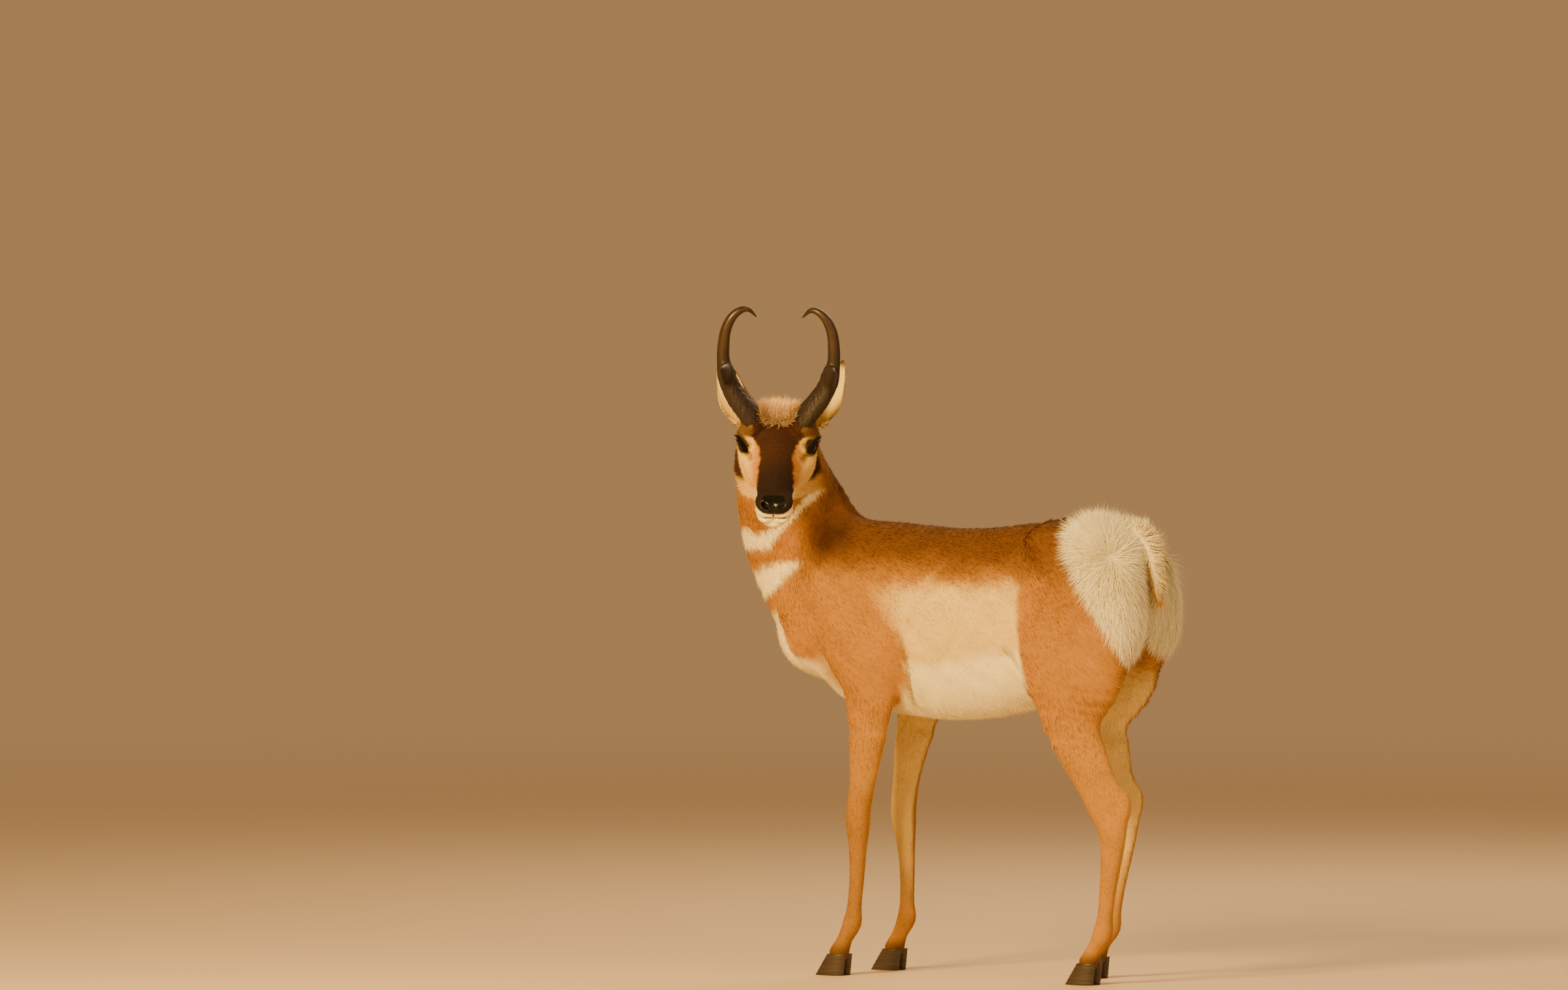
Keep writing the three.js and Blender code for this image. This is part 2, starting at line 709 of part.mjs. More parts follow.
// The locks of both rump patches, which part at each rosette and lift along the upper edge.
function rumpLocks() {
  const draw = randomSeries(SEED);
  const locks = [];
  for (const side of Object.values(SIDES)) {
    const parting = vec(mirrored(ROSETTE, side));
    for (const { rise, bearings } of RUMP_ROWS) {
      for (const bearing of bearings) {
        const around = degrees((bearing + draw(-3, 3)) * side);
        const up = degrees(rise + draw(-4, 4));
        const out = Math.cos(up);
        const direction = [Math.cos(around) * out, Math.sin(around) * out, Math.sin(up)];
        const root = skinAt(bodyField, RUMP_MIDDLE, direction, 300);
        const behind = root.at.clone().sub(vec(BEHIND.at)).dot(vec(BEHIND.normal));
        if (behind < 12) continue;
        const lie = root.at.clone().sub(parting).normalize();
        lie.add(new THREE.Vector3(0.1, 0.12 * side, -0.55)).normalize();
        const edge = vec(BEHIND.normal).normalize();
        const back = lie.dot(edge);
        if (behind < 75 && back < 0.1) lie.addScaledVector(edge, 0.1 - back).normalize();
        const kind = rise > 20 || behind < 40 ? "ruff" : "rump";
        const hang = Math.max(-lie.z, 0.05) * LOCKS[kind].length;
        const room = (root.at.z - HAIR_FLOOR) / hang;
        if (room < 0.45) continue;
        locks.push(lock(kind, root, lie, Math.min(draw(0.85, 1.1), room), draw(-0.15, 0.15)));
      }
    }
  }
  return locks;
}

// The tuft that stands between the horns.
function crownLocks() {
  const draw = randomSeries(SEED + 4);
  const locks = [];
  for (const { x, sides } of CROWN_ROWS) {
    for (const y of sides) {
      const root = skinAt(headForms(), [x, y, 0], [0, 0, 1], 80);
      const lie = new THREE.Vector3(draw(-1, 0.5) + (x > -30 ? 0.6 : 0), y / 20, 0);
      locks.push(lock("crown", root, lie.normalize(), draw(0.85, 1.1), draw(-0.2, 0.2)));
    }
  }
  return locks;
}

// Two staggered rows of short hair down the nape.
function maneLocks() {
  const draw = randomSeries(SEED + 9);
  const line = new THREE.CatmullRomCurve3(NECK.map((s) => vec(s.slice(0, 3))));
  const locks = [];
  for (let n = 0; n < MANE.count; n += 1) {
    const t = mix(MANE.from, MANE.to, n / (MANE.count - 1));
    const along = line.getTangent(t);
    const crest = crestAt(t).clone();
    crest.addScaledVector(along, -crest.dot(along)).normalize();
    const across = along.clone().cross(crest);
    const from = line.getPoint(t).addScaledVector(across, (n % 2 === 0 ? 1 : -1) * MANE.spread);
    const root = skinAt(fleshField, from.toArray(), crest.toArray(), 160);
    const lie = along.clone().negate().addScaledVector(across, draw(-0.25, 0.25));
    locks.push(lock("mane", root, lie, draw(0.85, 1.1), draw(-0.15, 0.15)));
  }
  return locks;
}

// The slit between the lips: a thin slab round the muzzle that stops at a core.
function mouthSlit() {
  const { back, at, slope, open } = MOUTH;
  const long = 120;
  const geometry = new THREE.BoxGeometry(long, 120, open);
  geometry.deleteAttribute("normal");
  geometry.deleteAttribute("uv");
  geometry.translate(long / 2, 0, 0);
  geometry.rotateY(-Math.atan(slope));
  geometry.translate(back, 0, at[2] - slope * (at[0] - back));
  return toManifold(geometry).subtract(ringTube(MOUTH_CORE, always([0, 0, 1]), 12, 6));
}

function nostril(side) {
  const geometry = new THREE.SphereGeometry(1, 8, 6);
  geometry.deleteAttribute("normal");
  geometry.deleteAttribute("uv");
  geometry.scale(...NOSTRIL.radii);
  geometry.rotateX(degrees(NOSTRIL.turn[0] * side));
  geometry.rotateZ(degrees(NOSTRIL.turn[2] * side));
  geometry.translate(...mirrored(NOSTRIL.at, side));
  return toManifold(geometry);
}

// The lids: a thin shell over the eyeball, open where the eye looks out.
function lids(side) {
  const eye = mirrored(EYE.at, side);
  const shell = ball(eye, EYE.radius + LID, 14, 9);
  const opening = new THREE.CylinderGeometry(1, 1, 60, 12);
  opening.deleteAttribute("normal");
  opening.deleteAttribute("uv");
  opening.scale(EYE.slit[0], 1, EYE.slit[1]);
  opening.translate(0, 30 * side, 0);
  opening.rotateZ(-degrees(EYE.forward) * side);
  opening.translate(...eye);
  return shell.subtract(toManifold(opening));
}

// Above a leg's cut lies the trunk, and below it and outside its inner face lies the leg.
function legSpace(kind, name, gap) {
  const side = SIDES[name];
  const cut = kind === "fore" ? FORE_CUT : HIND_CUT;
  const shift = kind === "fore" ? 0 : HIND_SET[name][0];
  const face = [cut.face[0] + shift - Math.sign(cut.away[0]) * gap, 0, cut.face[2]];
  const below = block([0, 0, cut.top + gap], [0, 0, -1]);
  const outside = block([0, side * (cut.inner - gap), 500], [0, side, -cut.slope]);
  return below.intersect(outside).intersect(block(face, cut.away));
}

function makeTorso() {
  let torso = wrap(bodyField, [-470, -200, 470], [520, 200, 930], [43, 36, 38]);
  torso = torso.subtract(beyond(NECK_ROOT));
  torso = torso.subtract(beyond(BEHIND));
  for (const kind of ["fore", "hind"]) {
    for (const name of Object.keys(SIDES)) {
      torso = torso.subtract(legSpace(kind, name, GAP / 2));
    }
  }
  return largest(torso);
}

function makeRump() {
  let rump = wrap(bodyField, [285, -200, 560], [500, 200, 930], [24, 21, 24]);
  rump = wasm.Manifold.union([rump, ...rumpLocks()]);
  rump = rump.subtract(beyond(reverse(BEHIND)));
  rump = rump.subtract(tailTube(GAP));
  for (const name of Object.keys(SIDES)) {
    rump = rump.subtract(legSpace("hind", name, GAP / 2));
  }
  return largest(rump);
}

// The tail, with room for its clearance where it is sunk between the haunches.
function tailTube(room) {
  const stations = TAIL.map(([x, y, z, deep, wide]) => [x, y, z, deep + room, wide + room]);
  stations[0][2] += room;
  stations.at(-1)[2] -= room;
  return ringTube(stations, always([1, 0, 0]), 10, 7);
}

function makeNeck() {
  let neck = wrap(fleshField, [-520, -240, 640], [-180, 130, 1150], [31, 29, 31]);
  neck = wasm.Manifold.union([neck, ...maneLocks()]);
  neck = neck.subtract(beyond(reverse(NECK_ROOT)));
  neck = neck.subtract(beyond(reverse(cutOnHead(THROAT))));
  for (const side of Object.values(SIDES)) {
    neck = neck.subtract(beyond(cutOnHead(earSeat(side)), 64, 50));
  }
  return largest(neck);
}

function makeHead() {
  const inHead = headFrame.elements;
  const m = inHead;
  const field = (x, y, z) =>
    fleshField(
      m[0] * x + m[4] * y + m[8] * z + m[12],
      m[1] * x + m[5] * y + m[9] * z + m[13],
      m[2] * x + m[6] * y + m[10] * z + m[14],
    );
  let head = wrap(field, [-150, -110, -130], [220, 110, 100], [14, 12.5, 13.5]);
  head = wasm.Manifold.union([head, ...crownLocks(), lids(-1), lids(1)]);
  head = head.subtract(beyond(THROAT)).subtract(mouthSlit());
  for (const side of Object.values(SIDES)) {
    const eye = mirrored(EYE.at, side);
    head = head.subtract(ball(eye, EYE.radius + GAP)).subtract(nostril(side));
    const seat = { at: mirrored(HORN_SEAT.at, side), normal: mirrored(HORN_SEAT.along, side) };
    head = head.subtract(beyond(seat, 74, 60));
    head = head.subtract(beyond(earSeat(side), 64, 50));
  }
  return placeOnHead(largest(head));
}

function makeEye(side) {
  return placeOnHead(ball(mirrored(EYE.at, side), EYE.radius));
}

function makeHorn(side) {
  const flip = (stations) => stations.map((s) => mirrored(s, side));
  let horn = ringTube(flip(HORN), always([1, 0, 0]), 10, 18);
  horn = horn.add(ringTube(flip(PRONG), always([0, 0, 1]), 6, 4));
  const seat = { at: mirrored(HORN_SEAT.at, side), normal: mirrored(HORN_SEAT.along, side) };
  horn = horn.subtract(beyond(reverse(seat)));
  return placeOnHead(largest(horn));
}

const earSeat = (side) => ({
  at: mirrored(EAR.root, side),
  normal: mirrored(EAR.along, side),
});

// The cup of an ear: two like sheets a wall apart, narrow at the root and pointed at the tip.
function makeEar(side) {
  const along = vec(mirrored(EAR.along, side)).normalize();
  const facing = vec(mirrored(EAR.facing, side));
  facing.addScaledVector(along, -facing.dot(along)).normalize();
  const across = along.clone().cross(facing);
  const root = vec(mirrored(EAR.root, side));
  const rows = 8;
  const columns = 7;
  const sheet = (inset) => {
    const points = [];
    for (let r = 0; r <= rows; r += 1) {
      const s = r / rows;
      const half = EAR.width * Math.max(earWidth(s), 0.03) - inset * 0.4;
      const wrapAngle = mix(2.5, 0.75, Math.min(s * 1.5, 1));
      const radius = half / Math.sin(Math.min(wrapAngle, Math.PI / 2));
      const lift = mix(-6, EAR.length, s) + 6 * Math.sin(Math.PI * s);
      for (let c = 0; c <= columns; c += 1) {
        const angle = wrapAngle * ((2 * c) / columns - 1);
        const point = root.clone();
        const depth = radius * (Math.cos(wrapAngle * 0.6) - Math.cos(angle));
        point.addScaledVector(along, lift);
        point.addScaledVector(across, radius * Math.sin(angle));
        point.addScaledVector(facing, depth + inset - 16 * s * s);
        points.push(point.toArray());
      }
    }
    return points;
  };
  const cup = closeSheets(sheet(0), sheet(EAR.wall), rows, columns);
  const stem = ball(root.clone().addScaledVector(along, 2).toArray(), EAR.stem, 12, 8);
  const ear = cup.add(stem).subtract(beyond(reverse(earSeat(side))));
  return placeOnHead(largest(ear));
}

function earWidth(s) {
  return Math.sin(Math.PI * Math.min(0.22 + 0.78 * s, 1)) ** 0.8 * (1 - 0.12 * s);
}

// Joins two like grids of points into one closed sheet.
function closeSheets(outer, inner, rows, columns) {
  const width = columns + 1;
  const count = outer.length;
  const faces = [];
  const strip = (a, b) => faces.push([a, b, b + count], [a, b + count, a + count]);
  for (let r = 0; r < rows; r += 1) {
    for (let c = 0; c < columns; c += 1) {
      const a = r * width + c;
      faces.push([a, a + width, a + 1], [a + 1, a + width, a + width + 1]);
      const b = a + count;
      faces.push([b, b + 1, b + width], [b + 1, b + width + 1, b + width]);
    }
    strip(r * width + width, r * width);
    strip(r * width + columns, r * width + width + columns);
  }
  for (let c = 0; c < columns; c += 1) {
    strip(c, c + 1);
    strip(rows * width + c + 1, rows * width + c);
  }
  const solid = fromLists([...outer, ...inner], faces);
  return solid.volume() > 0 ? solid : fromLists([...outer, ...inner], faces.map((f) => f.reverse()));
}

// The lengths that a leg is divided into: the name, the cuts below and above it, how far its
// grid reaches beyond the leg's line, and its cells.
const LEG_PARTS = {
  fore: [
    ["forearm", KNEE_CUT, null, 120, [20, 16, 30]],
    ["fore_foot", CORONET, KNEE_CUT, 45, [12, 11.5, 31]],
  ],
  hind: [
    ["thigh", STIFLE_CUT, null, 150, [28, 24, 30]],
    ["shank", HOCK_CUT, STIFLE_CUT, 90, [16.5, 15, 26]],
    ["hind_foot", CORONET, HOCK_CUT, 60, [12, 11.5, 31]],
  ],
};

function makeLegPart(kind, name, [, floor, ceiling, reach, cell]) {
  const side = SIDES[name];
  const top = ceiling ?? 700;
  const margin = 30;
  const near = legStations(kind, name).filter((s) => s[2] > floor - 60 && s[2] < top + 60);
  const xs = near.map((s) => s[0]);
  const inner = ceiling === null ? 0 : 20;
  const yLow = side < 0 ? -190 : inner;
  const yHigh = side < 0 ? -inner : 190;
  const low = [Math.min(...xs) - reach, yLow, floor - margin];
  const high = [Math.max(...xs) + reach, yHigh, top + margin];
  let leg = wrap(bodyField, low, high, cell);
  leg = leg.subtract(beyond({ at: [0, 0, floor], normal: [0, 0, -1] }));
  if (ceiling === null) {
    leg = leg.intersect(legSpace(kind, name, -GAP / 2));
  } else {
    leg = leg.subtract(beyond({ at: [0, 0, ceiling], normal: [0, 0, 1] }));
  }
  return largest(leg);
}

// One claw of a hoof: blunt heel, pointed toe and a flat sole on the floor.
function makeClaw(kind, name, outer) {
  const foot = legStations(kind, name).at(-1);
  const side = SIDES[name];
  const inward = outer ? 1 : -1;
  const rings = [];
  const levels = 3;
  for (let k = 0; k <= levels; k += 1) {
    const t = k / levels;
    const length = mix(HOOF_LENGTH / 2, 21, t);
    const width = mix(HOOF_WIDTH / 2, 10.5, t);
    const ring = [];
    for (let n = 0; n < 10; n += 1) {
      const angle = (2 * Math.PI * n) / 10;
      const toe = Math.max(-Math.cos(angle), 0);
      const x = Math.cos(angle) * length;
      const y = Math.sin(angle) * width * (1 - 0.45 * toe * toe * (1 - 0.4 * t));
      ring.push([
        foot[0] + mix(-15, 1, t) + x,
        foot[1] + side * inward * HOOF_SPREAD * mix(1, 0.9, t) + y,
        mix(0, CORONET - GAP / 2, t),
      ]);
    }
    rings.push(ring);
  }
  return largest(fromRings(rings));
}

// Colours and finishes.
const FINISHES = {
  coat: { color: 0xb5703a, roughness: 0.9 },
  white: { color: 0xf2e6cc, roughness: 0.95 },
  face: { color: 0x8a5a34, roughness: 0.9 },
  legs: { color: 0xc08a55, roughness: 0.9 },
  horn: { color: 0x241a12, roughness: 0.5 },
  hoof: { color: 0x1c1713, roughness: 0.45 },
  eye: { color: 0x120b07, roughness: 0.05 },
};

// Joins corners that lie closer than a weld and drops the faces that this closes up.
function weld(solid) {
  const data = solid.getMesh();
  const loose = new THREE.BufferGeometry();
  const position = new THREE.BufferAttribute(new Float32Array(data.vertProperties), 3);
  loose.setAttribute("position", position);
  loose.setIndex(new THREE.BufferAttribute(new Uint32Array(data.triVerts), 1));
  const geometry = mergeVertices(loose, WELD);
  const corners = Array.from(geometry.index.array);
  const kept = [];
  for (let n = 0; n < corners.length; n += 3) {
    const [a, b, c] = corners.slice(n, n + 3);
    if (a !== b && b !== c && c !== a) kept.push(a, b, c);
  }
  geometry.setIndex(kept);
  return geometry;
}

function meshOf(name, solid, finish) {
  const geometry = weld(solid);
  geometry.computeVertexNormals();
  const material = new THREE.MeshStandardMaterial({ metalness: 0, ...FINISHES[finish] });
  const mesh = new THREE.Mesh(geometry, material);
  mesh.name = name;
  return mesh;
}

const pronghorn = new THREE.Group();
const put = (name, solid, finish) => pronghorn.add(meshOf(name, solid, finish));

put("torso", makeTorso(), "coat");
put("rump", makeRump(), "white");
put("tail", tailTube(0), "coat");
put("neck", makeNeck(), "coat");
put("head", makeHead(), "face");
for (const [name, side] of Object.entries(SIDES)) {
  put(`eye_${name}`, makeEye(-side), "eye");
  put(`horn_${name}`, makeHorn(-side), "horn");
  put(`ear_${name}`, makeEar(-side), "face");
  for (const kind of ["fore", "hind"]) {
    for (const part of LEG_PARTS[kind]) {
      put(`${part[0]}_${name}`, makeLegPart(kind, name, part), "legs");
    }
    put(`${kind}_hoof_${name}_outer`, makeClaw(kind, name, true), "hoof");
    put(`${kind}_hoof_${name}_inner`, makeClaw(kind, name, false), "hoof");
  }
}

// The origin lies on the floor under the middle of the whole animal.
const bounds = new THREE.Box3().setFromObject(pronghorn);
const middle = bounds.getCenter(new THREE.Vector3());
pronghorn.position.set(-middle.x, -middle.y, -bounds.min.z);

export default pronghorn;
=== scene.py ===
"""Dress the pronghorn: one skin, horns, hooves, eyes and a coat of solid tufts."""
import math

import bmesh
import bpy
import numpy as np
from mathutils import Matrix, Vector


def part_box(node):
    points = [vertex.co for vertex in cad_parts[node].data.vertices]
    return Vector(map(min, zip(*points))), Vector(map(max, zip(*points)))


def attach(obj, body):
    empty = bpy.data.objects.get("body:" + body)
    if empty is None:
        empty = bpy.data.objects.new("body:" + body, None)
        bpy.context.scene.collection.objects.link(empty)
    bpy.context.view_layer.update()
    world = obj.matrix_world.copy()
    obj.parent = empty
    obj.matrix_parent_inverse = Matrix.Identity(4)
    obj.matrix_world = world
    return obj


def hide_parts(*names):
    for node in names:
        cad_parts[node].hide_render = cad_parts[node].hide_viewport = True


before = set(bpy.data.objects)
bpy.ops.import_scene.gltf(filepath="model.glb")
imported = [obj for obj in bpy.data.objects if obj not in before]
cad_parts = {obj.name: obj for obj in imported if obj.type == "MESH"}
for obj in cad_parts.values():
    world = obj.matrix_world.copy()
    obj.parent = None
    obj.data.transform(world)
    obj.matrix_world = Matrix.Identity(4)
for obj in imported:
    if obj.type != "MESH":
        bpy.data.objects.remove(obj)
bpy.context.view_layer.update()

import openvdb as vdb
from bpy.props import FloatProperty, FloatVectorProperty, IntProperty, PointerProperty
from mathutils import Matrix, Vector

bl_info = {
    "name": "Pronghorn",
    "version": (1, 0, 0),
    "blender": (4, 5, 0),
    "location": "View3D > Sidebar > Pronghorn",
    "description": "Skin, coat, horns, hooves and eyes of a standing pronghorn buck",
    "category": "Object",
}

MM = 0.001
ROOT = "root"
SIDES = {"left": -1, "right": 1}  # the way each side lies along the animal's y
HEAD_SIDES = {"left": 1, "right": -1}  # and along the y of the head's own frame

# The animal's own frame is in millimetres, with the body facing -X and its left side at -Y.
# The trunk: x, height of the back, height of the belly, half width, upper taper.
TRUNK = [
    (-362, 760, 600, 56, 0),
    (-330, 815, 566, 80, 0.04),
    (-285, 866, 540, 101, 0.08),
    (-220, 887, 518, 117, 0.12),
    (-130, 884, 504, 132, 0.1),
    (-30, 877, 495, 143, 0),
    (60, 878, 500, 145, -0.04),
    (140, 886, 517, 137, -0.04),
    (210, 898, 547, 124, 0.02),
    (275, 907, 590, 118, 0.12),
    (345, 896, 625, 112, 0.2),
    (400, 866, 660, 84, 0.2),
]
TRUNK_CAP = 0.3  # how far the trunk rounds out past its last section
# The neck: middle, half depth, half width, heading of the crest in degrees.
NECK = [
    (-255, 0, 700, 150, 98, 0),
    (-314, -4, 765, 138, 90, 2),
    (-348, -18, 830, 126, 82, 10),
    (-361, -40, 890, 114, 79, 26),
    (-367, -60, 932, 104, 79, 48),
    (-366, -80, 972, 99, 80, 74),
    (-361, -100, 1014, 93, 80, 100),
    (-348, -121, 1052, 78, 72, 120),
]
# The legs: x, y, z, half length fore and aft, half width, rear taper.
FORE_LEG = [
    (-172, 96, 650, 72, 38, 0),
    (-152, 97, 578, 66, 37, 0),
    (-157, 89, 505, 51, 34, -0.1),
    (-167, 82, 442, 38, 28, -0.15),
    (-178, 79, 375, 29.5, 23.5, -0.1),
    (-186, 81, 322, 27.5, 25.5, 0),
    (-186, 83, 290, 26, 24, 0),
    (-184, 87, 245, 20.5, 17.5, 0),
    (-184, 91, 190, 17.5, 14.5, 0),
    (-187, 95, 136, 17, 14.5, 0),
    (-190, 98, 103, 21, 19, 0),
    (-206, 99, 72, 17, 17.5, 0),
    (-219, 100, 44, 22, 21, 0),
]
HIND_LEG = [
    (318, 88, 670, 112, 58, 0),
    (315, 92, 590, 112, 56, -0.05),
    (311, 92, 528, 78, 46, -0.15),
    (321, 90, 481, 59, 39, -0.25),
    (342, 88, 435, 50, 33, -0.35),
    (365, 86, 388, 44, 28, -0.35),
    (390, 85, 343, 45, 25.5, -0.25),
    (400, 86, 292, 31, 21, -0.15),
    (396, 87, 238, 24.5, 17.5, 0),
    (390, 88, 190, 20, 15.5, 0),
    (384, 89, 136, 18, 15, 0),
    (379, 90, 100, 22, 19.5, 0),
    (362, 91, 70, 17.5, 17.5, 0),
    (349, 92, 44, 22, 21, 0),
]
HOCK_POINT = ((424, 85, 345), (17, 13, 30))  # its middle and its three radii
# How far each hind leg is set forward at thigh, hock and hoof, and the heights of hock and hip.
HIND_SET = {"left": (0, 0, 0), "right": (-34, -80, -100)}
HOCK, HIP = 318, 604
# The tail: middle, half its depth and half its width.
TAIL = [(404, 0, 874, 15, 19), (428, 0, 848, 13, 20), (443, 0, 806, 11, 19),
        (450, 0, 758, 9, 15), (450, 0, 716, 3, 5)]

# The head's frame: x to the nose, y to the left, z to the crown, origin between the eyes.
HEAD_AT = (-303, -190, 1037)
HEAD_TURN = (-1.5, 31, -60)  # roll, pitch and yaw in degrees
HEAD_MIDDLE = (30, 0, -10)
HEAD_REACH = (200, 120, 120)  # half the box that holds the whole head
# The skull and muzzle: x, height of the top, height of the bottom, half width, upper taper.
SKULL = [
    (-78, 34, -52, 48, 0),
    (-50, 46, -72, 59, 0),
    (-15, 46, -84, 62, -0.05),
    (20, 34, -84, 60, -0.1),
    (55, 20, -78, 51, -0.12),
    (90, 7, -72, 42, -0.1),
    (122, -4, -68, 36, -0.08),
    (150, -12, -66, 34, 0),
    (172, -19, -64, 33, 0.05),
]
MUZZLE_CAP = 0.5
EYE_AT, EYE_RADIUS, EYE_TURN, EYE_TILT = (2, 57, 0), 19, 36, 20
SLIT_WIDE, SLIT_ABOVE, SLIT_BELOW = 56, 44, 40  # half the opening of the lids in degrees
NOSTRIL = {"at": (180, 15, -29), "along": (-0.35, 0.75, 0.45), "half": 6, "radius": 5.0}
HORN_CELL = 1.9
# The left horn and its prong: middle, half its depth and half its width.
HORN = [
    (-16, 46, 36, 31, 21), (-18, 58, 58, 31, 21), (-21, 75, 82, 29, 20), (-25, 90, 106, 26, 18.5),
    (-30, 101, 136, 22, 17), (-36, 107, 166, 15, 13), (-42, 107, 197, 12, 12),
    (-49, 103, 226, 10.8, 10.8), (-57, 92, 250, 9.4, 9.4), (-64, 76, 263, 7.4, 7.4),
    (-70, 60, 262, 5, 5), (-75, 45, 243, 1.6, 1.6),
]
PRONG = [(-32, 100, 132, 26, 13), (-4, 104, 156, 19, 10), (18, 107, 175, 12, 7), (36, 109, 192, 3, 2.5)]
EAR = {"root": (-76, 66, 14), "along": (-0.54, 0.48, 0.69), "facing": (0.8, 0.4, 0.46),
       "length": 128, "width": 33, "wall": 2.6}
EAR_ROWS, EAR_COLUMNS = 26, 22
CORONET, HOOF_LENGTH, HOOF_WIDTH, HOOF_SPREAD = 42, 64, 22, 12.5
PATCH = ((303, 0, 912), (0.9, 0, 0.436))  # the plane in front of the rump patches
ROSETTE = (418, 104, 826)  # where each patch's hair parts
# Folds of the skin behind the elbow and in front of the thigh, as x and z.
CREASES = [
    [(-66, 668), (-56, 651), (-47, 598), (-60, 550), (-76, 500)],
    [(176, 640), (189, 628), (211, 596), (238, 543), (250, 508)],
]
FAR = 60.0  # beyond this gap a form is only estimated by its box
SKIN_BOX = ((-490, -340, 18), (480, 175, 1150))
SKIN_DEPTH, LEG_DEPTH, FACE_DEPTH = 6.0, 2.5, 1.2  # how far the skin lies inside the solids

PIECE_TUFTS = 45000  # the most that one piece of the short coat holds
LASHES = 170
BAKE_PATCH = 0.003  # side of one tuft's patch on the unwrap
ROOT_SINK = 1.0  # how deep a tuft's root lies in the skin

DARK_HORN, POLISHED_HORN = (0.020, 0.010, 0.006), (0.052, 0.025, 0.009)
PRONG_HORN, TIP_HORN = (0.016, 0.009, 0.006), (0.02, 0.012, 0.008)
CROWN_CREAM = (0.92, 0.66, 0.38)
PUPIL, IRIS, SCLERA = (0.0005, 0.0004, 0.0004), (0.0016, 0.0008, 0.0005), (0.002, 0.0012, 0.001)
IRIS_ANGLE = 0.72  # from the eye's axis, in radians
LASH_BLACK = 0.004

PICTURE = (2408, 1521)
TARGET = (0, 0, 0.7)
# Each light's place towards the camera, to its right and up, with its size, power and colour.
LIGHTS = {
    "key": ((3.6, -2.4, 1.7), 1.4, 520, (1.0, 0.64, 0.22)),
    "fill": ((3.5, 3.0, 1.2), 3.0, 80, (1.0, 0.72, 0.42)),
    "rim": ((-3.5, 1.5, 3.2), 2.5, 150, (1.0, 0.74, 0.42)),
}


class Body(bpy.types.PropertyGroup):
    cell: FloatProperty(name="Skin cell", default=6.5, description="Cell of the skin's grid in mm")


class Coat(bpy.types.PropertyGroup):
    short_count: IntProperty(name="Short tufts", default=150000, description="Tufts of the flat coat")
    rump_count: IntProperty(name="Rump tufts", default=38000, description="Long tufts of the rump")
    head_count: IntProperty(name="Face tufts", default=32000, description="Tufts of the face")
    crest_count: IntProperty(name="Crown tufts", default=12000, description="Tufts of crown and mane")
    tan: FloatVectorProperty(name="Tan", subtype="COLOR", default=(0.41, 0.187, 0.022),
                             description="Flanks and legs")
    # The back's darker brown, which also carries painted shade on the top of the back and haunch.
    saddle_and_shade: FloatVectorProperty(name="Saddle", subtype="COLOR", default=(0.125, 0.047, 0.009),
                                description="Back from withers to croup")
    white: FloatVectorProperty(name="White", subtype="COLOR", default=(0.90, 0.83, 0.50),
                               description="Rump, belly and throat bands")
    cream: FloatVectorProperty(name="Cream", subtype="COLOR", default=(0.76, 0.60, 0.20),
                               description="Flank panel and cheeks")
    dark: FloatVectorProperty(name="Mask", subtype="COLOR", default=(0.026, 0.010, 0.005),
                              description="Face mask and jaw patch")


class Stage(bpy.types.PropertyGroup):
    azimuth: FloatProperty(name="Azimuth", default=33.0, description="Camera's bearing in degrees")
    elevation: FloatProperty(name="Elevation", default=2.0, description="Camera's height in degrees")
    distance: FloatProperty(name="Distance", default=34.0, unit="LENGTH", description="To the animal")
    scale: FloatProperty(name="Scale", default=790.0, description="Picture points in a metre")
    floor_line: FloatProperty(name="Floor line", default=1500.0, description="Picture row of the floor")
    backdrop: FloatVectorProperty(name="Backdrop", subtype="COLOR", default=(0.42, 0.22, 0.085),
                                  description="Colour of the room behind the animal")
    middle: FloatProperty(name="Middle", default=1477.0, description="Picture column of the origin")


def smooth(low, high, x):
    """Rises from 0 at one value to 1 at the other, or falls where they are the other way round."""
    t = np.clip((x - low) / (high - low), 0, 1)
    return t * t * (3 - 2 * t)


def unit(v):
    v = np.asarray(v, float)
    return v / np.maximum(np.linalg.norm(v, axis=-1, keepdims=True), 1e-9)


def laid_flat(lie, n):
    """The part of a direction that lies along the skin."""
    return lie - n * (lie * n).sum(1)[:, None]


def within(p, middle, reach):
    """Which points lie in a box."""
    return (np.abs(p - middle) < reach).all(1)


def head_matrix():
    roll, pitch, yaw = (math.radians(a) for a in HEAD_TURN)
    turn = Matrix.Rotation(yaw, 3, "Z") @ Matrix.Rotation(pitch, 3, "Y") @ Matrix.Rotation(roll, 3, "X")
    return np.array(turn)


HEAD_R = head_matrix()
HEAD_O = np.array(HEAD_AT, float)


def to_head(p):
    return (p - HEAD_O) @ HEAD_R


def from_head(p):
    return np.asarray(p, float) @ HEAD_R.T + HEAD_O


def eye_gap(q):
    """How far points of the head's frame lie from the middle of the nearer eye."""
    return np.linalg.norm(np.column_stack([q[:, 0], np.abs(q[:, 1]), q[:, 2]]) - EYE_AT, axis=1)


def frame_shift():
    """The animal's frame is set in the model's frame by where its left eye lies."""
    low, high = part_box("eye_left")
    middle = (np.array(low) + np.array(high)) / 2
    return middle - from_head(EYE_AT) * MM


SHIFT = frame_shift()


def to_world(p):
    return np.asarray(p, float) * MM + SHIFT


# Smooth curves and fields, worked on whole arrays of points.

